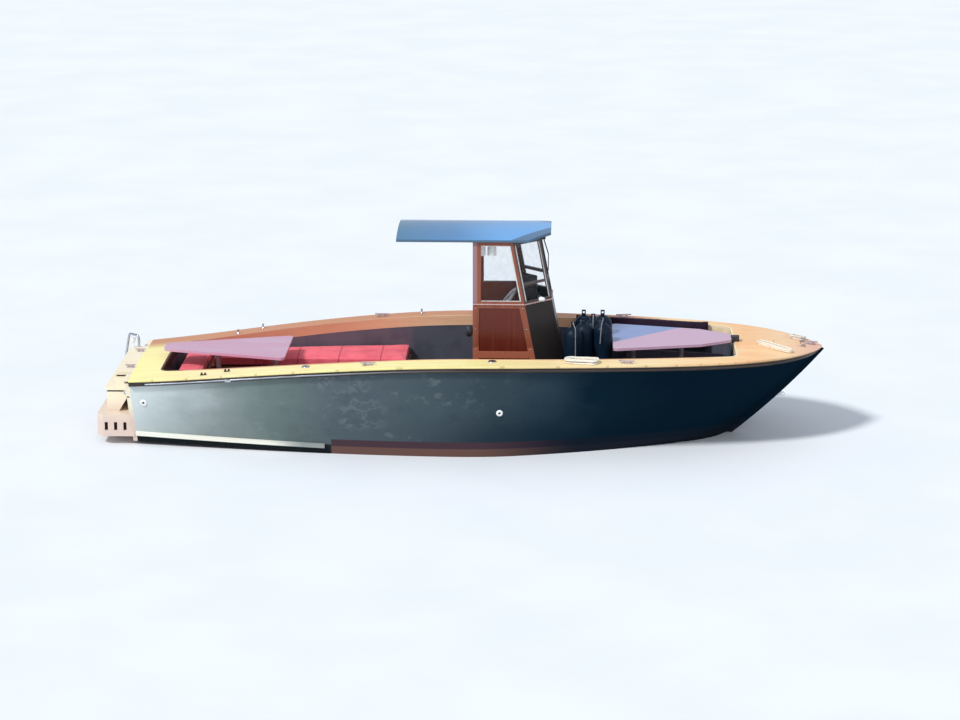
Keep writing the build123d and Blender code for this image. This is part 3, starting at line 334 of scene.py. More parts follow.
def hull_paint():
    """Weathered dark topside paint, pale aft with painted sunlight and darkened forward and low down with
    painted shade, over a boot-top band that starts amidships and darkens forward with the same painted shade.
    """
    paint = Paint("hull_paint", Coat_Roughness=0.15, Specular_IOR_Level=0.0)
    clouds = paint.noise(1.3, 5, (1, 1, 1.6), 0.6)
    streaks = paint.noise(2.4, 6, (0.6, 1, 2.6), 0.6, (3, 0, 1))
    scuffs = paint.noise(5.5, 4, (0.8, 1, 1.1), 0.62, (1, 4, 2))
    rings = 1 - abs(scuffs - 0.52).ramp(0.004, 0.055)
    middle = paint.x.ramp(*SMUDGE_AFT_X) * paint.x.ramp(*SMUDGE_FORE_X)
    # Painted sunlight pales the stern and painted shade darkens the bow along these tones
    body = paint.along(paint.x + (clouds - 0.5) * 0.9, HULL_PAINTED_LIGHT_TONES)
    body = paint.mix(body, SMUDGE, rings * middle * clouds.ramp(0.52, 0.66, 0.0, 0.14))
    body = paint.mix(body, SMUDGE, scuffs.ramp(0.58, 0.72, 0.0, 0.14) * paint.x.ramp(*PALE_SCUFF_X))
    body = paint.mix(body, BOW_DARK, scuffs.ramp(0.46, 0.34, 0.0, 0.10) * paint.x.ramp(*DARK_SCUFF_X))
    body = paint.mix(body, BOW_DARK, paint.z.ramp(*LOW_SHADE_Z) * paint.x.ramp(*LOW_SHADE_X, 0.15, 0.62))
    band = paint.mix(BOOT_BROWN, MAROON, paint.z.ramp(*BOOT_MID_Z))
    # The band darkens forward into the bow's tone: painted shade
    band = paint.mix(band, BOW_DARK, paint.x.ramp(*BAND_SHADE_X, 0.0, 0.92))
    forward = paint.x.ramp(*BAND_AFT_X)
    colour = paint.mix(body, band, paint.z.ramp(*BOOT_TOP_Z) * forward)
    # Near black below the chine rail aft of the band: painted shadow
    colour = paint.mix(colour, RAIL_SHADOW_AND_TARNISH, paint.z.ramp(*UNDER_RAIL_SHADOW_Z) * (1 - forward))
    coat = clouds.spread(0.10, 0.03) * paint.x.ramp(*HULL_COAT_X, 0.06, 1.0)
    return paint.done(
        colour, rough=streaks.spread(0.30, 0.46), coat=coat,
        bump=(paint.noise(9, 3, (0.3, 1, 1)), 0.0012, 0.25))


def bottom_paint():
    """Matt antifouling with brushed streaks."""
    paint = Paint("bottom_paint")
    streaks = paint.noise(5, 5, (0.25, 1, 2))
    return paint.done(
        paint.mix(MAROON, BOOT_BROWN, streaks.ramp(0.35, 0.7)), rough=streaks.spread(0.6, 0.85),
        bump=(paint.noise(60, 3, (0.3, 1, 1)), 0.0008, 0.5))


def wood(name, pale, dark, coat, grain=LONG_GRAIN, rough=(0.24, 0.42), seams=False):
    """Varnished wood with long grain. With seams, laid as narrow planks with caulked joints."""
    paint = Paint(name, Coat_Roughness=0.08)
    lines = paint.noise(**grain)
    figure = paint.noise(grain["scale"] * 0.16, 4, (grain["stretch"][0] * 3, 1, 1), 0.5, FIGURE_SHIFT)
    colour = paint.mix(pale, dark, lines.ramp(0.36, 0.68, 0.0, 0.75))
    height = lines * 0.25
    if seams:
        tone, joint = paint.planks()
        colour = paint.mix(colour, dark, tone.ramp(0.0, 1.0, 0.0, 0.34))
        colour = paint.mix(colour, CAULK, joint * 0.55)
        height = height - joint * 0.8
    return paint.done(
        colour, rough=lines.spread(*rough), coat=figure.spread(coat, coat * 0.6), bump=(height, 0.0012, 0.5))


def step_wood():
    """Pale planks of the stern steps, paler higher up and pinker low down, with painted shadow under the
    treads and painted shade inside the platform's slots.
    """
    paint = Paint("step_wood", Coat_Roughness=0.12, Specular_IOR_Level=0.2)
    grain = paint.noise(**LONG_GRAIN)
    figure = paint.noise(4, 4, (0.2, 1, 1), 0.5, FIGURE_SHIFT)
    tone = paint.mix(PALE_WOOD, PALE_PINK, paint.z.ramp(*STEP_PINK_Z))
    # Grain paler higher up the steps
    paler_high = grain.ramp(0.42, 0.72, 0.0, 0.45) * paint.z.ramp(*STEP_PALER_Z, 0.3, 1.0)
    tone = paint.mix(tone, VARNISH_PALE, paler_high)
    tone = paint.mix(tone, STEP_STAIN, figure.ramp(0.54, 0.76, 0.0, 0.35))
    # Painted shadow along the underside of each tread
    for top in STEP_SHADOW_TOPS:
        line = (paint.z > top - STEP_SHADOW_HIGH) * (paint.z < top) * (paint.x < STEP_SHADOW_X)
        tone = paint.mix(tone, MAHOGANY_DARK, line * 0.85)
    run = (paint.x - SLOT_FIRST) / SLOT_PITCH
    slots = abs((run + 0.5).fract() - 0.5) < SLOT_WIDE / 2 / SLOT_PITCH
    slots = slots * (abs(run - 1) < 1 + SLOT_WIDE / SLOT_PITCH)
    high = (paint.z > SLOT_LOW) * (paint.z < SLOT_HIGH)
    deep = abs(paint.y) > PLATFORM_HALF - SLOT_DEEP - SLOT_SKIN * 2
    inside = deep * (abs(paint.y) < PLATFORM_HALF - SLOT_SKIN)
    # Dark inside the slots: painted shade in the recesses
    return paint.done(
        paint.mix(tone, MAHOGANY_DARK, high * slots * inside), rough=grain.spread(0.35, 0.55),
        coat=figure.spread(0.12, 0.05), bump=(grain, 0.0012, 0.5))


def coaming_wood():
    """Varnished coaming: painted shade at the stern end, red-brown along the cockpit and painted sunlight
    round the bow end.
    """
    paint = Paint("coaming_wood", Coat_Roughness=0.08, Specular_IOR_Level=0.15)
    grain = paint.noise(**LONG_GRAIN)
    tone = paint.mix(paint.along(paint.x, COAMING_TONES_AND_LIGHT), DECK_RED, grain.ramp(0.42, 0.76, 0.0, 0.35))
    return paint.done(
        tone, rough=grain.spread(0.28, 0.44), coat=grain.spread(0.15, 0.08), bump=(grain, 0.0010, 0.5))


def rail_cream():
    """Cream paint of the rail at the chine, worn grey towards its forward end."""
    paint = Paint("rail_cream", Coat_Roughness=0.1, Specular_IOR_Level=0.3)
    wear = paint.noise(8, 5, (0.3, 1, 1))
    tone = paint.mix(CREAM, PALE_WOOD, wear.ramp(0.45, 0.75, 0.0, 0.5))
    return paint.done(
        paint.mix(tone, RAIL_GREY, (paint.x + wear * 0.5).ramp(*RAIL_WORN_X)), rough=wear.spread(0.35, 0.5),
        coat=wear.spread(0.15, 0.05), bump=(wear, 0.0006, 0.4))


def rail_metal():
    """Dull metal strip with a painted highlight aft that fades to tarnished brown towards the bow."""
    paint = Paint("rail_metal", Metallic=0.4, Specular_IOR_Level=0.3)
    marks = paint.noise(12, 5, (0.15, 1, 1))
    # Painted highlight aft, fading forward
    tone = paint.mix(STRIP_HIGHLIGHT, STRIP_DULL, paint.x.ramp(*STRIP_HIGHLIGHT_FADE_X))
    return paint.done(
        paint.mix(tone, RAIL_SHADOW_AND_TARNISH, marks.ramp(0.45, 0.75, 0.0, 0.5)), rough=marks.spread(0.30, 0.50),
        bump=(marks, 0.0003, 0.4))


def deck_wood():
    """Varnished narrow planks with caulked joints, paler aft and redder along the port side."""
    paint = Paint("deck_wood", Coat_Roughness=0.08, Specular_IOR_Level=0.08)
    grain = paint.noise(**LONG_GRAIN)
    figure = paint.noise(3.4, 4, (0.22, 1, 1), 0.5, FIGURE_SHIFT)
    plank, joint = paint.planks()
    tone = paint.along(paint.x, DECK_TONES)
    tone = paint.mix(tone, DECK_RED, paint.y.ramp(*DECK_RED_Y) * paint.x.ramp(*DECK_RED_X) * 0.92)
    tone = paint.mix(tone, DECK_GRAIN, grain.ramp(0.46, 0.74, 0.0, 0.26) + plank * 0.07)
    tone = paint.mix(tone, VARNISH_PALE, figure.ramp(0.50, 0.72, 0.0, 0.40) * paint.y.ramp(*DECK_PALE_Y))
    return paint.done(
        paint.mix(tone, CAULK, joint * 0.34), rough=grain.spread(0.26, 0.42), coat=figure.spread(0.12, 0.05),
        bump=(grain * 0.25 - joint * 0.8, 0.0012, 0.5))


def console_wood():
    """Red-brown panels inside lighter frames, with a painted highlight on the aft posts of the windows and
    the inner faces lightened as painted light in the roof's shade.
    """
    paint = Paint("console_wood", Coat_Roughness=0.1, Specular_IOR_Level=0.25)
    grain = paint.noise(**UPRIGHT_GRAIN)
    figure = paint.noise(3.2, 4, (1, 1, 0.35), 0.5)
    field = paint.mix(MAHOGANY, FRAME_WOOD, (grain * figure).ramp(0.22, 0.5, 0.0, 0.22))
    border = paint.mix(FRAME_WOOD, MAHOGANY, grain.ramp(0.4, 0.75, 0.0, 0.55))
    # Painted highlight on the aft posts of the windows
    border = paint.mix(border, FRAME_HIGHLIGHT, paint.z.ramp(*POST_HIGHLIGHT_Z) * paint.x.ramp(*POST_HIGHLIGHT_X) * 0.85)
    border = paint.mix(border, FRAME_BRIGHT, paint.z.ramp(*LOW_FRAME_Z) * 0.8)
    colour = paint.mix(border, field, abs(paint.y) < PANEL_FIELD_Y)
    # Inner faces lightened to the frame tone: painted light in the roof's shade
    inside = (abs(paint.y) < PANEL_LIT_INSIDE_Y) * paint.x.ramp(*PANEL_LIT_INSIDE_X)
    return paint.done(
        paint.mix(colour, FRAME_WOOD, inside), rough=grain.spread(0.24, 0.40), coat=figure.spread(0.28, 0.14),
        bump=(grain, 0.0009, 0.5))


def quarter_wood():
    """The same timber on the bow faces of the console, painted in its shaded tones: nearly black below the
    sill and dark grey-brown on the stiles above.
    """
    paint = Paint("quarter_wood", Coat_Roughness=0.12, Specular_IOR_Level=0.2)
    grain = paint.noise(**UPRIGHT_GRAIN)
    # Painted shade: nearly black below the sill, dark grey-brown above
    low = paint.mix(QUARTER_SHADE, QUARTER_SHADE_RED, grain.ramp(0.5, 0.9, 0.0, 0.6))
    high = paint.mix(STILE_SHADE_GREY, FRAME_WOOD, grain.ramp(0.45, 0.8, 0.0, 0.30))
    return paint.done(
        paint.mix(low, high, paint.z.ramp(*QUARTER_SHADE_Z)), rough=grain.spread(0.3, 0.5),
        coat=grain.spread(0.12, 0.05), bump=(grain, 0.0009, 0.5))


def lining_paint():
    """Matt grey inside paint, scuffed here and there, turned mauve behind the aft seats by painted red light
    bounced off their cushions.
    """
    paint = Paint("lining_paint", Specular_IOR_Level=0.3)
    clouds = paint.noise(4, 5)
    # Mauve aft is painted red light bounced off the coral cushions
    tone = paint.mix(LINING_RED_BOUNCE, LINING_GREY, paint.x.ramp(*LINING_BOUNCE_X))
    return paint.done(
        paint.mix(tone, LINING_SCUFF, clouds.ramp(0.4, 0.8, 0.0, 0.5)), rough=clouds.spread(0.5, 0.7),
        bump=(paint.noise(160, 3), 0.0006, 0.5))


def roof_paint():
    """Gloss blue-grey top with a painted sky reflection, grey lip and a dark underside."""
    paint = Paint("roof_paint", Coat_Roughness=0.05, Specular_IOR_Level=0.2)
    across = paint.y / ROOF_HALF
    height = paint.z - (ROOF_EDGE_Z + ROOF_CAMBER) + across * across * ROOF_CAMBER
    clouds = paint.noise(1.1, 3, (0.7, 1.6, 1))
    # Painted sky reflection, brighter towards the front
    top = paint.along(paint.x + (clouds - 0.5) * 0.5, ROOF_SKY_REFLECTION_TONES)
    inside = ROOF_HALF - (paint.x - ROOF_CUT_X) * ROOF_CUT_SLOPE - abs(paint.y)
    shaded = inside.ramp(ROOF_SHADE_WIDE, ROOF_SHADE_WIDE - ROOF_SHADE_SOFT)
    outside = paint.mix(ROOF_LIP, paint.mix(top, ROOF_LIP, shaded * 0.85), height.ramp(*ROOF_LIP_HIGH))
    return paint.done(
        paint.mix(ROOF_UNDER, outside, height.ramp(*ROOF_SKIN)), rough=clouds.spread(0.16, 0.26),
        coat=height.ramp(*ROOF_SKIN, 0.0, 0.22), bump=(paint.noise(240, 2), 0.0002, 0.3))


def plain(name, colour, shade, rough=(0.35, 0.5), metal=0.0, scale=14.0, depth=0.0006, grit=160.0, coat=0.0,
          stretch=(1, 1, 1), shine=0.5):
    """Even finish with a soft change of tone and a fine surface texture."""
    paint = Paint(name, Metallic=metal, Coat_Weight=coat, Coat_Roughness=0.08, Specular_IOR_Level=shine)
    tone = paint.noise(scale, 5, stretch)
    return paint.done(
        paint.mix(colour, shade, tone.ramp(0.32, 0.72)), rough=tone.spread(*rough),
        bump=(paint.noise(grit, 3), depth, 0.5))


def table_paint():
    """Gloss laminate, with the shadow of the console and fenders painted in blue on the far aft corner of the
    bow table.
    """
    paint = Paint("table_top", Coat_Weight=0.3, Coat_Roughness=0.06)
    clouds = paint.noise(2.1, 3, (0.5, 1.4, 1))
    # Painted blue shadow of the console and fenders on the bow table
    past = paint.y - TABLE_SHADOW_Y - (paint.x - TABLE_SHADOW_X) * TABLE_SHADOW_SLOPE + (clouds - 0.5) * 0.06
    cast_shadow = past.ramp(-0.02, 0.03) * paint.x.ramp(*TABLE_BOW_X)
    tone = paint.mix(TABLE_PINK, TABLE_MAUVE, clouds.ramp(0.35, 0.7) + paint.x.ramp(*TABLE_MAUVE_X))
    return paint.done(
        paint.mix(tone, TABLE_SHADOW_BLUE, cast_shadow * 0.92), rough=clouds.spread(0.18, 0.32),
        bump=(paint.noise(180, 2), 0.0002, 0.4))


def cloth(name, colour, shade, panel=0.46, panel_shift=0.0):
    """Woven seat cloth with a sewn channel across the cushion every panel length."""
    paint = Paint(name, Sheen_Weight=0.12, Sheen_Roughness=0.4, Specular_IOR_Level=0.25)
    weave = ((paint.x * WEAVE_PER_METRE).fract() - 0.5) * ((paint.y * WEAVE_PER_METRE).fract() - 0.5)
    wear = paint.noise(5, 5)
    channel = abs(((paint.x + panel_shift) / panel).fract() - 0.5).ramp(0.470, 0.5)
    body = paint.mix(colour, shade, wear.ramp(0.35, 0.75, 0.0, 0.6))
    # The sewn channel takes the darker tone: painted shade in the crease
    return paint.done(
        paint.mix(body, shade, channel * 0.85), rough=wear.spread(0.7, 0.9),
        bump=(weave * 0.25 - channel * 4.0 + wear * 1.5, 0.004, 0.6))


def rope_fibre(name, colour, shade):
    """Laid rope: short slanting strands and a little fluff."""
    paint = Paint(name, Sheen_Weight=0.3)
    strands = paint.cells(150, (1, 1, 1.6))
    fluff = paint.noise(420, 3)
    # Grooves between strands take the darker tone: painted shade
    return paint.done(
        paint.mix(colour, shade, strands.ramp(0.35, 0.8)), rough=fluff.spread(0.75, 0.95),
        bump=(strands * -1.0 + fluff * 0.3, 0.002, 0.8))


def window_glass():
    """Thin clear pane with a slight tint and water marks."""
    paint = Paint("window_glass", IOR=1.45, Base_Color=(*GLASS_TINT, 1), Specular_IOR_Level=0.06)
    marks = paint.noise(20, 4)
    paint.feed("Roughness", marks.ramp(0.4, 0.8, 0.02, 0.10))
    paint.feed("Alpha", marks.ramp(0.35, 0.8, 0.03, 0.07))
    return paint.material


def finish(material, nodes):
    """Put a finish on CAD nodes, and give it back for the pieces made here."""
    for node in nodes.split():
        NODES[node].data.materials.clear()
        NODES[node].data.materials.append(material)
    return material


finish(deck_wood(), "aft_deck foredeck side_deck_port side_deck_starboard locker_hatch")
finish(step_wood(), "transom swim_platform stern_steps")
finish(coaming_wood(), "coaming")
finish(wood("sole_wood", SOLE_WOOD, MAHOGANY_DARK, 0.2, rough=(0.45, 0.6), seams=True), "sole")
finish(wood("desk_wood", MAHOGANY_DARK, DESK_BLACK, 0.2, CROSS_GRAIN), "helm_desk")
finish(wood("bench_wood", SOLE_WOOD, MAHOGANY_DARK, 0.3), "aft_bench bow_bench")
finish(hull_paint(), "topside_port topside_starboard stem")
finish(bottom_paint(), "hull_bottom keel rudder")
finish(quarter_wood(), "console_front console_quarter_port console_quarter_starboard")
CONSOLE = finish(console_wood(), "console_side_port console_side_starboard")
finish(roof_paint(), "roof")
finish(window_glass(), "console_glass")
finish(rail_cream(), "chine_rails")
STRIP = rail_metal()
finish(lining_paint(), "lining_port lining_starboard")
finish(table_paint(), "aft_table bow_table")
finish(cloth("coral_cloth", CORAL, CORAL_DARK), "cushion_aft_port cushion_aft_starboard cushion_stern")
# Bow cushions and backrests: the coral cloth in painted shade
finish(cloth("coral_cloth_in_shade", CORAL_IN_SHADE, CORAL_IN_SHADE_WORN, 0.38, 0.12),
       "cushion_bow_port cushion_bow_starboard backrest_port backrest_starboard")
CREAM_ROPE = finish(rope_fibre("rope_cream", ROPE_CREAM, CREAM_GROOVE_SHADE), "rope_side rope_fore_starboard")
WHITE_ROPE = finish(rope_fibre("rope_white", ROPE_WHITE, WHITE_GROOVE_SHADE), "rope_fore_port")
GREY_ROPE = finish(rope_fibre("rope_grey", ROPE_GREY, GREY_GROOVE_SHADE), "lanyard_long lanyard_mid lanyard_short")
finish(plain("rub_rubber", RUBBER_BLACK, RUBBER_WORN, (0.4, 0.6), scale=6, depth=0.001,
             stretch=(0.3, 1, 1), shine=0.25), "rub_rails")
finish(plain("fender_vinyl", NAVY, NAVY_WORN, (0.34, 0.5), scale=7, depth=0.0012, grit=60, shine=0.15),
       "fenders")
finish(plain("grey_metal", PEDESTAL_GREY, PEDESTAL_WORN, (0.4, 0.55), 0.3, 20, stretch=(1, 1, 0.1)),
       "aft_pedestals bow_pedestals cleats")
CHROME = finish(plain("polished_steel", STEEL, STEEL_DULL, (0.12, 0.24), 1.0, 30, depth=0.0002),
                "bow_eye stern_eyes hatch_hinges stern_rail")
finish(plain("bronze", BRONZE, BRONZE_DARK, (0.25, 0.45), 1.0, 18), "propeller")
finish(plain("engine_paint", ENGINE_GREY, ENGINE_DARK, (0.4, 0.6)), "engine")
DARK = finish(plain("dark_plastic", BLACK, BLACK_WORN, (0.4, 0.6), scale=30), "table_bracket throttle")
LAMP = finish(plain("lamp_white", WHITE, WHITE_DULL, (0.15, 0.3), scale=30, coat=0.5, depth=0.0002),
              "steering_wheel stern_lamp speakers")
TRIM = plain("sill_trim", TRIM_PINK, TRIM_WORN, (0.3, 0.45), scale=40, coat=0.2)
BEAD = plain("window_bead", BEAD_GREY, BEAD_WORN, (0.4, 0.6), scale=60)
HOOD = plain("helm_hood", HOOD_BLACK, HOOD_BROWN, (0.5, 0.7), scale=20, shine=0.2)


def placed(name, data):
    """A new object in the scene, at the origin."""
    thing = bpy.data.objects.new(name, data)
    SCENE.collection.objects.link(thing)
    return thing


def mesh_of(name, shape):
    """A mesh made from a finished bmesh."""
    mesh = bpy.data.meshes.new(name)
    shape.to_mesh(mesh)
    shape.free()
    return mesh


def piece(name, shape, material, smooth=False):
    """Turn a finished bmesh into a piece that rides on the hull."""
    bmesh.ops.recalc_face_normals(shape, faces=shape.faces)
    mesh = mesh_of(name, shape)
    mesh.materials.append(material)
    for face in mesh.polygons:
        face.use_smooth = smooth
    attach(placed(name, mesh), HULL)


def turned(along, up):
    """Rotation whose X runs along a direction, with Z as near up as it can be."""
    x = along.normalized()
    y = up.cross(x).normalized()
    return Matrix((x, y, x.cross(y))).transposed().to_4x4()


BAR_SOFT = 0.25


def add_bar(shape, start, end, wide, thick, up=UP):
    """A straight bar from start to end, wide across and thick along up, with softened long edges."""
    start, end = Vector(start), Vector(end)
    made = bmesh.ops.create_cube(shape, size=1)["verts"]
    bmesh.ops.scale(shape, vec=((end - start).length, wide, thick), verts=made)
    edges = list({edge for vert in made for edge in vert.link_edges})
    made = bmesh.ops.bevel(shape, geom=edges, offset=min(wide, thick) * BAR_SOFT, segments=2, profile=0.5,
                           affect="EDGES", material=-1)["verts"]
    place = Matrix.Translation((start + end) / 2) @ turned(end - start, up)
    bmesh.ops.transform(shape, matrix=place, verts=made)


def add_block(shape, centre, half, wide, thick):
    """A bar about its centre, which reaches as far as half does to each side."""
    add_bar(shape, centre - half, centre + half, wide, thick)


def add_turning(shape, profile, centre, axis=UP, sides=32, radius=1):
    """A turned fitting: a line of (share of the radius, height) points spun round axis at centre."""
    before = set(shape.verts)
    line = [shape.verts.new((share * radius, 0, height)) for share, height in profile]
    edges = [shape.edges.new(pair) for pair in zip(line, line[1:])]
    bmesh.ops.spin(shape, geom=line + edges, cent=(0, 0, 0), axis=UP, angle=math.tau, steps=sides,
                   use_merge=True)
    bmesh.ops.remove_doubles(shape, verts=[vert for vert in shape.verts if vert not in before], dist=1e-6)
    made = [vert for vert in shape.verts if vert not in before]
    spin = UP.rotation_difference(Vector(axis).normalized()).to_matrix().to_4x4()
    bmesh.ops.transform(shape, matrix=Matrix.Translation(Vector(centre)) @ spin, verts=made)


def add_port_side(shape):
    """Repeat on the port side what has been made on the starboard side."""
    bmesh.ops.mirror(shape, geom=shape.verts[:] + shape.edges[:] + shape.faces[:],
                     matrix=Matrix.Identity(4), merge_dist=-1, axis="Y")


# Where the lines start that look for the deck from above and for the side from starboard
LOOK_FROM_Z = 3
LOOK_FROM_Y = -2


def surface(node, start, direction):
    """The point where a line from start meets a CAD node, and the way that its surface faces there."""
    found, point, normal, _ = NODES[node].ray_cast(Vector(start), Vector(direction).normalized())
    if not found:
        raise RuntimeError(f"nothing of {node} lies on the line from {start}")
    return point, normal


def on_deck(node, x, y):
    """The point on top of a deck at a place in plan."""
    return surface(node, (x, y, LOOK_FROM_Z), -UP)[0]


def on_side(node, x, z):
    """The point on the starboard side at a station and height, and the way that it faces."""
    return surface(node, (x, LOOK_FROM_Y, z), TO_PORT)


def clean_copy(node):
    """The CAD node's mesh with its loose triangles joined, in a new object."""
    mesh = NODES[node].data.copy()
    shape = bmesh.new()
    shape.from_mesh(mesh)
    bmesh.ops.remove_doubles(shape, verts=shape.verts, dist=0.00005)
    bmesh.ops.recalc_face_normals(shape, faces=shape.faces)
    shape.to_mesh(mesh)
    shape.free()
    return placed("pad_" + node, mesh)


def evaluated(thing):
    """The mesh of an object with its modifiers applied."""
    depsgraph = bpy.context.evaluated_depsgraph_get()
    return bpy.data.meshes.new_from_object(thing.evaluated_get(depsgraph))


# Padded seats. columns: voxel, how far it starts inside, how far a point may move, CAD nodes
PADS = [
    (0.016, 0.010, 0.020, "cushion_aft_port cushion_aft_starboard"),
    (0.014, 0.010, 0.018, "cushion_stern"),
    (0.015, 0.010, 0.020, "cushion_bow_port cushion_bow_starboard"),
    (0.014, 0.008, 0.014, "backrest_port backrest_starboard"),
]
PAD_CLEAR = 0.0005
SWELL_FRAMES, SWELL_PRESSURE, SWELL_QUALITY = 20, 4.0, 4


def build_pads():
    """Swell each soft solid as cloth under pressure, held within a cap and above what it rests on."""
    pads = []
    for node, voxel, inset, cap in [(node, *sizes) for *sizes, nodes in PADS for node in nodes.split()]:
        pad = clean_copy(node)
        remesh = pad.modifiers.new("remesh", "REMESH")
        remesh.mode, remesh.voxel_size = "VOXEL", voxel
        mesh = evaluated(pad)
        pad.modifiers.clear()
        pad.data = mesh
        for vert, normal in [(v, v.normal.copy()) for v in mesh.vertices]:
            vert.co -= normal * inset
        mesh.materials.clear()
        mesh.materials.append(NODES[node].data.materials[0])
        pads.append((pad, node, [v.co.copy() for v in mesh.vertices], cap))
    for pad, *_ in pads:
        swell = pad.modifiers.new("swell", "CLOTH")
        swell.settings.use_pressure = True
        swell.settings.uniform_pressure_force = SWELL_PRESSURE
        swell.settings.effector_weights.gravity = 0
        swell.settings.quality = SWELL_QUALITY
    for step in range(1, SWELL_FRAMES + 1):
        SCENE.frame_set(step)
    for pad, node, rest, cap in pads:
        swollen = evaluated(pad)
        pad.modifiers.clear()
        for vert, old, new in zip(pad.data.vertices, rest, swollen.vertices):
            move = new.co - old
            vert.co = old + move * min(1, cap / max(move.length, 1e-6))
    SCENE.frame_set(1)
    for pad, node, _, _ in pads:
        low, high = (Vector(corner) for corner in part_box(node))
        for vert in pad.data.vertices:
            vert.co.z = max(vert.co.z, low.z + PAD_CLEAR)
        for face in pad.data.polygons:
            face.use_smooth = True
        finish = pad.modifiers.new("smooth", "SUBSURF")
        finish.levels = finish.render_levels = 1
        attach(pad, HULL)
        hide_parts(node)


def oval(share, half_long, radius):
    """Point at a share of the way round an oval with straight runs and round ends."""
    straight = 2 * (half_long - radius)
    half = 1 if share % 1 < 0.5 else -1
    run = share % 0.5 * 2 * (straight + math.pi * radius)
    if run < straight:
        return half * Vector((run - straight / 2, -radius, 0))
    angle = (run - straight) / radius - math.pi / 2
    return half * Vector((straight / 2 + radius * math.cos(angle), radius * math.sin(angle), 0))


def lay_rope(node, points, diameter, material):
    """A rope along points, in place of its CAD solid."""
    curve = bpy.data.curves.new("line_" + node, "CURVE")
    curve.dimensions = "3D"
    spline = curve.splines.new("POLY")
    spline.points.add(len(points) - 1)
    for place, point in zip(spline.points, points):
        place.co = (*point, 1)
    curve.bevel_depth, curve.bevel_resolution, curve.use_fill_caps = diameter / 2, 3, True
    curve.materials.append(material)
    rope = placed("line_" + node, curve)
    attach(rope, HULL)
    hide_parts(node)


# Rope on deck. columns: CAD node, deck, middle, turn in degrees, half length, outer radius, diameter, rings,
# layers, rope
COILS = [
    ("rope_side", "side_deck_starboard", (1.290, -1.053), -3, 0.176, 0.082, 0.0145, 4, 3, CREAM_ROPE),
    ("rope_fore_starboard", "foredeck", (3.347, -0.264), -45, 0.230, 0.037, 0.0150, 1, 3, CREAM_ROPE),
    ("rope_fore_port", "foredeck", (3.634, 0.218), -34, 0.088, 0.047, 0.0140, 2, 3, WHITE_ROPE),
]
COIL_STEPS, COIL_CLEAR = 44, 0.0008
# Space from turn to turn and from layer to layer, in diameters
COIL_PITCH, COIL_RISE = 1.08, 1.04
# How untidily a rope lies. columns: axis, share of the outer radius, waves in a turn, start
COIL_WAVES = [(0, 0.16, 2, 1), (1, 0.10, 3, 0), (1, 0.07, 5, 2)]


def build_ropes():
    """Coil each rope on deck in rings, layer on layer, in and out again."""
    for node, deck, middle, turn, half_long, outer, diameter, rings, layers, material in COILS:
        centre = Vector((*middle, 0))
        spin = Matrix.Rotation(math.radians(turn), 3, "Z")
        points = []
        for step in range(rings * layers * COIL_STEPS + 1):
            done = step / COIL_STEPS
            layer = min(int(done // rings), layers - 1)
            inward = done - layer * rings
            ring = inward if layer % 2 == 0 else rings - inward
            rings_in = max(0, min(rings - 1, ring - 0.5 if rings > 1 else 0))
            radius = outer - rings_in * diameter * COIL_PITCH
            wave = Vector()
            for axis, share, waves, start in COIL_WAVES:
                wave[axis] += outer * share * math.sin(math.tau * waves * done + start)
            place = centre + spin @ (oval(done, half_long - (outer - radius), radius) + wave)
            rise = min(layers - 1, max(0.0, done / rings)) * diameter * COIL_RISE
            place.z = on_deck(deck, place.x, place.y).z + diameter / 2 + COIL_CLEAR + rise
            points.append(place)
        lay_rope(node, points, diameter, material)


# Lines that hang from the fenders' eyes. columns: CAD node, corners that the line runs round
LANYARDS = [
    ("lanyard_long", [(1.190, -0.4503, 1.3143), (1.190, -0.496, 1.3143), (1.214, -0.556, 1.262),
                      (1.218, -0.559, 0.505)]),
    ("lanyard_mid", [(1.405, -0.0783, 1.3143), (1.405, -0.124, 1.316), (1.402, -0.178, 1.266),
                     (1.402, -0.184, 1.185)]),
    ("lanyard_short", [(1.507, -0.2603, 1.3143), (1.507, -0.306, 1.3143), (1.490, -0.371, 1.262),
                       (1.478, -0.376, 1.065)]),
]
LANYARD_DIAMETER, LANYARD_BEND = 0.010, 0.024


def rounded(corners, radius, steps=8):
    """Points along straight runs whose corners are rounded."""
    corners = [Vector(corner) for corner in corners]
    points = [corners[0]]
    for before, corner, after in zip(corners, corners[1:], corners[2:]):
        back, on = (before - corner).normalized(), (after - corner).normalized()
        half = back.angle(on) / 2
        centre = corner + (back + on).normalized() * radius / math.sin(half)
        first = corner + back * radius / math.tan(half) - centre
        last = corner + on * radius / math.tan(half) - centre
        points += [centre + first.lerp(last, step / steps).normalized() * radius for step in range(steps + 1)]
    return points + [corners[-1]]


def build_lanyards():
    """Hang each fender's line from its eye."""
    for node, corners in LANYARDS:
        lay_rope(node, rounded(corners, LANYARD_BEND), LANYARD_DIAMETER, GREY_ROPE)


# Small turned fittings. columns: radius, height, but for the outlets the share of their radius, height
OUTLET_RIM = [(0.34, 0.002), (0.40, 0.013), (0.72, 0.013), (1, 0.005), (1, -0.003), (0.34, -0.003),
              (0.34, 0.002)]
OUTLET_BORE = [(0, 0.004), (0.33, 0.004), (0.33, -0.003), (0, -0.003)]
FILLER_CAP = [(0, 0.006), (0.022, 0.006), (0.026, 0.009), (0.040, 0.008), (0.048, 0.001), (0.048, -0.004),
              (0, -0.004)]
DECK_PIN = [(0, 0.052), (0.010, 0.050), (0.014, 0.044), (0.010, 0.038), (0.008, 0.012), (0.020, 0.005),
            (0.022, -0.004), (0, -0.004)]
EYE_POST = [(0, 0.030), (0.008, 0.028), (0.011, 0.020), (0.009, 0.004), (0, 0.004)]
SCREW_HEAD = [(0, 0.004), (0.006, 0.003), (0.008, 0), (0.008, -0.003), (0, -0.003)]
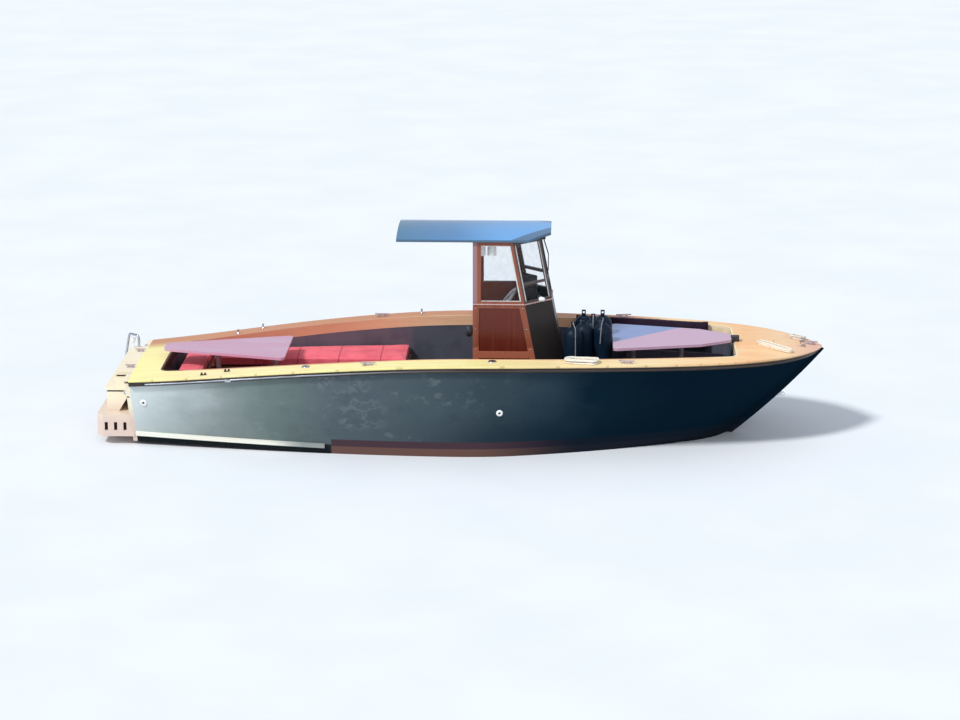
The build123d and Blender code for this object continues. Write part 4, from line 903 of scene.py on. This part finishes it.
LAMP_BODY = [(0, 0.058), (0.014, 0.054), (0.024, 0.040), (0.026, 0.012), (0.030, 0.008), (0.030, -0.002),
             (0, -0.002)]
BOLSTER = [(0, 0.060), (0.022, 0.056), (0.038, 0.036), (0.042, 0), (0.038, -0.036), (0.022, -0.056),
           (0, -0.060)]

# Skin fittings of the hull. columns: x, z, radius
OUTLETS = [(-3.371, 0.495, 0.038), (0.425, 0.499, 0.036)]
# Fillers and eyes on the starboard side deck, and pins on the port one. columns: x, y
FILLERS = [(0.345, -1.065), (-1.62, -0.985)]
DECK_EYES = [(-2.713, -0.940), (-2.468, -0.887)]
DECK_PINS = [(-2.555, 0.835), (-2.295, 0.998), (-0.517, 1.176)]
EYE_BASE_Z, EYE_BASE_HALF, EYE_BASE_WIDE, EYE_BASE_THICK = 0.004, 0.034, 0.022, 0.010
EYE_POST_X = 0.018
# Small plate on the starboard rub rail
PLATE_X, PLATE_Z = -2.44, 0.800
PLATE_HALF, PLATE_DEEP, PLATE_HIGH = 0.030, 0.012, 0.030


def build_fittings():
    """Outlets on the topside, a plate on the rail, and filler caps, small eyes and pins on deck."""
    skin, bores = bmesh.new(), bmesh.new()
    for x, z, radius in OUTLETS:
        point, normal = on_side("topside_starboard", x, z)
        add_turning(skin, OUTLET_RIM, point, normal, radius=radius)
        add_turning(bores, OUTLET_BORE, point, normal, radius=radius)
    piece("skin_fittings", skin, LAMP, smooth=True)
    piece("skin_bores", bores, DARK)
    chrome = bmesh.new()
    for x, y in FILLERS:
        add_turning(chrome, FILLER_CAP, on_deck("side_deck_starboard", x, y))
    for x, y in DECK_PINS:
        add_turning(chrome, DECK_PIN, on_deck("side_deck_port", x, y), sides=20)
    plate, _ = on_side("rub_rails", PLATE_X, PLATE_Z)
    add_block(chrome, plate, FORWARD * PLATE_HALF, PLATE_DEEP, PLATE_HIGH)
    piece("deck_chrome", chrome, CHROME, smooth=True)
    eyes = bmesh.new()
    for x, y in DECK_EYES:
        foot = on_deck("side_deck_starboard", x, y)
        add_block(eyes, foot + UP * EYE_BASE_Z, FORWARD * EYE_BASE_HALF, EYE_BASE_WIDE, EYE_BASE_THICK)
        for along in (-EYE_POST_X, EYE_POST_X):
            add_turning(eyes, EYE_POST, foot + FORWARD * along, sides=16)
    piece("deck_eyes", eyes, DARK, smooth=True)


# Metal strip on the rub rails, and the heights between which the rail's face is looked for
STRIP_AFT, STRIP_FORE, STRIP_STEPS = -3.340, 3.300, 90
STRIP_SIDES = 6
STRIP_WIDE, STRIP_PROUD, STRIP_SUNK = 0.016, 0.005, 0.001
RAIL_LOW, RAIL_HIGH, RAIL_STEPS = 0.55, 1.15, 200


def rail_face(x):
    """Middle of the rub rail's outer face on the starboard side, at a station along the boat."""
    rail, hits = NODES["rub_rails"], []
    for step in range(RAIL_STEPS + 1):
        z = RAIL_LOW + (RAIL_HIGH - RAIL_LOW) * step / RAIL_STEPS
        found, point, _, _ = rail.ray_cast(Vector((x, LOOK_FROM_Y, z)), TO_PORT)
        if found and point.y < 0:
            hits.append(point)
    return hits[len(hits) // 2]


def build_rail_strips():
    """Half-round metal strip along each rub rail."""
    shape = bmesh.new()
    rows = []
    for step in range(STRIP_STEPS + 1):
        middle = rail_face(STRIP_AFT + (STRIP_FORE - STRIP_AFT) * step / STRIP_STEPS)
        row = []
        for turn in range(STRIP_SIDES + 1):
            angle = math.pi * (turn / STRIP_SIDES - 0.5)
            out = STRIP_SUNK - STRIP_PROUD * math.cos(angle)
            row.append(shape.verts.new(middle + Vector((0, out, STRIP_WIDE / 2 * math.sin(angle)))))
        rows.append(row)
    for row, after in zip(rows, rows[1:]):
        for a, b, c, d in zip(row, row[1:], after[1:], after):
            shape.faces.new((a, b, c, d))
        shape.faces.new((row[-1], row[0], after[0], after[-1]))
    shape.faces.new(rows[0])
    shape.faces.new(rows[-1])
    add_port_side(shape)
    piece("rub_rail_strips", shape, STRIP)


# Bars on the console's starboard side. columns: piece, ends as edge, inset, height and out, wide, thick, up
TRIM_Z = 1.513
SIDE_BARS = [
    ("console_low_rails", ("aft", 0.062, 0.960, -0.004), ("fore", 0.062, 0.960, -0.004), 0.0085, 0.078, UP),
    ("console_sill_trim", ("aft", 0, TRIM_Z, 0.004), ("fore", 0, TRIM_Z, 0.004), 0.014, 0.013, UP),
    ("window_beads", ("fore", 0.036, SILL_Z, -0.002), ("fore", 0.036, WINDOW_TOP, -0.002), 0.014, 0.010,
     TO_PORT),
] + [("window_beads", ("aft", 0.090, z, -0.002), ("fore", 0.034 + CONSOLE_RAKE * (edge - z), z, -0.002),
      0.008, 0.010, TO_PORT) for edge, z in ((WINDOW_TOP, WINDOW_TOP - 0.004), (SILL_Z, SILL_Z + 0.004))]
# Bars on its leaning faces. columns: piece, ends as share across the face, height and out, wide, thick, up
POST_SHARE = 0.030 / (Vector(CONSOLE_NOSE) - Vector(CONSOLE_CORNER)).length
QUARTER_BARS = [("console_sill_trim", (0, TRIM_Z, 0.004), (1, TRIM_Z, 0.004), 0.014, 0.013, UP)] + [
    ("window_beads", (share, SILL_Z, 0.001), (share, WINDOW_TOP, 0.001), 0.010, 0.008, FORWARD - TO_PORT)
    for share in (1 - POST_SHARE, POST_SHARE)]
WIPER_MOTOR, WIPER_KNEE = (0.30, 2.165, 0.030), (0.30, 1.98, 0.052)
FRONT_BARS = [
    ("console_sill_trim", (0, TRIM_Z, 0.004), (1, TRIM_Z, 0.004), 0.014, 0.013, UP),
    ("wiper", WIPER_MOTOR, WIPER_KNEE, 0.010, 0.012, FORWARD),
    ("wiper", WIPER_KNEE, (0.26, 1.80, 0.016), 0.009, 0.010, FORWARD),
    ("wiper", (0.26, 2.02, 0.007), (0.26, 1.76, 0.007), 0.008, 0.014, FORWARD),
]
MOTOR_HALF, MOTOR_DEEP, MOTOR_HIGH = 0.030, 0.055, 0.050
SCREW_HEIGHTS, SCREW_INSET = [1.02, 1.24, 1.47], 0.030
# columns: piece, finish, smooth
CONSOLE_PIECES = [
    ("console_low_rails", CONSOLE, False), ("console_sill_trim", TRIM, False), ("window_beads", BEAD, False),
    ("console_screws", CHROME, True), ("wiper", DARK, False),
]
# Lamp on the starboard quarter, and the bolster on the aft edge
LAMP_PLACE, LAMP_LOOK_FROM, LAMP_LIFT = (0.60, 1.520), 0.3, 0.014
BOLSTER_PLACE = (0.079, -0.470, 1.215)


def side_point(edge, inset, z, out):
    """A point on the console's starboard side at a height, set in from its aft or its leaning fore edge."""
    x = CONSOLE_AFT + inset if edge == "aft" else CONSOLE_SIDE_BASE - CONSOLE_RAKE * (z - SOLE_Z) - inset
    return x, -CONSOLE_HALF - out, z


def face_point(face, share, z, out):
    """A point on one of the console's leaning faces, at a share of its width and a height."""
    start, end = (Vector(corner) for corner in face)
    along = (end - start).normalized()
    place = start.lerp(end, share) + Vector((along.y, -along.x)) * out
    return Vector((place.x - CONSOLE_RAKE * (z - SOLE_Z), place.y, z))


quarter_point, front_point = partial(face_point, CONSOLE_QUARTER), partial(face_point, CONSOLE_FRONT)


def add_bars(shapes, bars, face):
    """Bars between points of one face, each in its own piece's shape."""
    for name, start, end, wide, thick, up in bars:
        add_bar(shapes[name], face(*start), face(*end), wide, thick, up)


def build_console_trim():
    """Rails, trims, beads and screws on the starboard half, repeated to port, then what sits on the front."""
    shapes = {name: bmesh.new() for name, _, _ in CONSOLE_PIECES}
    add_bars(shapes, SIDE_BARS, side_point)
    add_bars(shapes, QUARTER_BARS, quarter_point)
    for z in SCREW_HEIGHTS:
        for edge in ("aft", "fore"):
            place = side_point(edge, SCREW_INSET, z, 0)
            add_turning(shapes["console_screws"], SCREW_HEAD, place, -TO_PORT, sides=14)
    for shape in shapes.values():
        add_port_side(shape)
    add_block(shapes["wiper"], front_point(*WIPER_MOTOR), TO_PORT * MOTOR_HALF, MOTOR_DEEP, MOTOR_HIGH)
    add_bars(shapes, FRONT_BARS, front_point)
    for name, material, smooth in CONSOLE_PIECES:
        piece(name, shapes[name], material, smooth=smooth)

    lamp = bmesh.new()
    outside = quarter_point(*LAMP_PLACE, LAMP_LOOK_FROM)
    point, normal = surface("console_quarter_starboard", outside, TO_PORT - FORWARD)
    add_turning(lamp, LAMP_BODY, point + UP * LAMP_LIFT, normal)
    piece("quarter_lamp", lamp, LAMP, smooth=True)
    bolster = bmesh.new()
    add_turning(bolster, BOLSTER, BOLSTER_PLACE)
    piece("aft_edge_bolster", bolster, DARK, smooth=True)


# Hood over the helm: its plan, foot, height, and how much narrower its top is, about a point inside
HOOD_PLAN = [(0.625, -0.420), (0.640, -0.420), (0.800, -0.260), (0.800, 0.260), (0.640, 0.420),
             (0.625, 0.420)]
HOOD_Z, HOOD_HIGH, HOOD_SOFT = 1.4815, 0.190, 0.010
HOOD_TAPER, HOOD_MIDDLE = 0.94, (0.70, 0, 0)
# Dials in the hood's aft face. columns: y, radius
DIALS = [(-0.20, 0.040), (0.0, 0.050), (0.20, 0.040)]
DIAL_X, DIAL_Z = 0.628, 1.585
# columns: how far past the dial's radius, height
DIAL_RIM = [(-0.006, 0.004), (-0.004, 0.010), (0, 0.010), (0.003, 0), (0.003, -0.004), (-0.006, -0.004),
            (-0.006, 0.004)]
DIAL_FACE_IN, DIAL_FACE_TOP, DIAL_FACE_BACK = 0.007, 0.003, -0.004


def build_helm():
    """Dark hood over the instruments, with three dials facing the wheel."""
    hood = bmesh.new()
    base = hood.faces.new([hood.verts.new((x, y, HOOD_Z)) for x, y in HOOD_PLAN])
    top = bmesh.ops.extrude_face_region(hood, geom=[base])["geom"]
    lifted = [item for item in top if isinstance(item, bmesh.types.BMVert)]
    bmesh.ops.translate(hood, vec=UP * HOOD_HIGH, verts=lifted)
    bmesh.ops.scale(hood, vec=(HOOD_TAPER, HOOD_TAPER, 1), verts=lifted,
                    space=Matrix.Translation(-Vector(HOOD_MIDDLE)))
    bmesh.ops.bevel(hood, geom=hood.edges[:], offset=HOOD_SOFT, segments=3, profile=0.5, affect="EDGES",
                    material=-1)
    piece("helm_hood", hood, HOOD)
    rims, faces = bmesh.new(), bmesh.new()
    for y, radius in DIALS:
        place = (DIAL_X, y, DIAL_Z)
        edge = radius - DIAL_FACE_IN
        add_turning(rims, [(radius + past, height) for past, height in DIAL_RIM], place, -FORWARD)
        profile = [(0, DIAL_FACE_TOP), (edge, DIAL_FACE_TOP), (edge, DIAL_FACE_BACK), (0, DIAL_FACE_BACK)]
        add_turning(faces, profile, place, -FORWARD)
    piece("dial_rims", rims, CHROME, smooth=True)
    piece("dial_faces", faces, LAMP)


def build_stage():
    """Camera, pale floor, sky and lamps."""
    back = Vector((math.sin(VIEW_AZIMUTH) * math.cos(VIEW_ELEVATION),
                   -math.cos(VIEW_AZIMUTH) * math.cos(VIEW_ELEVATION), math.sin(VIEW_ELEVATION)))
    lens = bpy.data.cameras.new("camera")
    lens.lens, lens.sensor_width, lens.clip_end = VIEW_LENS, VIEW_SENSOR, VIEW_REACH
    camera = placed("camera", lens)
    camera.location = VIEW_TARGET + back * VIEW_DISTANCE
    camera.rotation_euler = (-back).to_track_quat("-Z", "Y").to_euler()
    SCENE.camera = camera

    shape = bmesh.new()
    bmesh.ops.create_grid(shape, x_segments=1, y_segments=1, size=FLOOR_HALF)
    floor = placed("floor", mesh_of("floor", shape))
    paint = Paint("floor", Roughness=0.8)
    paint.feed("Base Color", paint.mix(FLOOR, FLOOR_SHADE, paint.noise(0.6, 2).spread(0.0, 1.0)))
    floor.data.materials.append(paint.material)

    world = bpy.data.worlds.new("sky")
    world.use_nodes = True
    background = world.node_tree.nodes["Background"]
    background.inputs["Color"].default_value = (*SKY, 1)
    background.inputs["Strength"].default_value = SKY_STRENGTH
    SCENE.world = world
    for name, strength, wide, aim in LAMPS:
        lamp = bpy.data.lights.new(name, "SUN")
        lamp.energy, lamp.angle = strength, math.radians(wide)
        placed(name, lamp).rotation_euler = Vector(aim).to_track_quat("-Z", "Y").to_euler()
    SCENE.view_settings.view_transform = "Standard"


build_stage()
bpy.context.view_layer.update()
build_ropes()
build_lanyards()
build_fittings()
build_rail_strips()
build_console_trim()
build_helm()
build_pads()
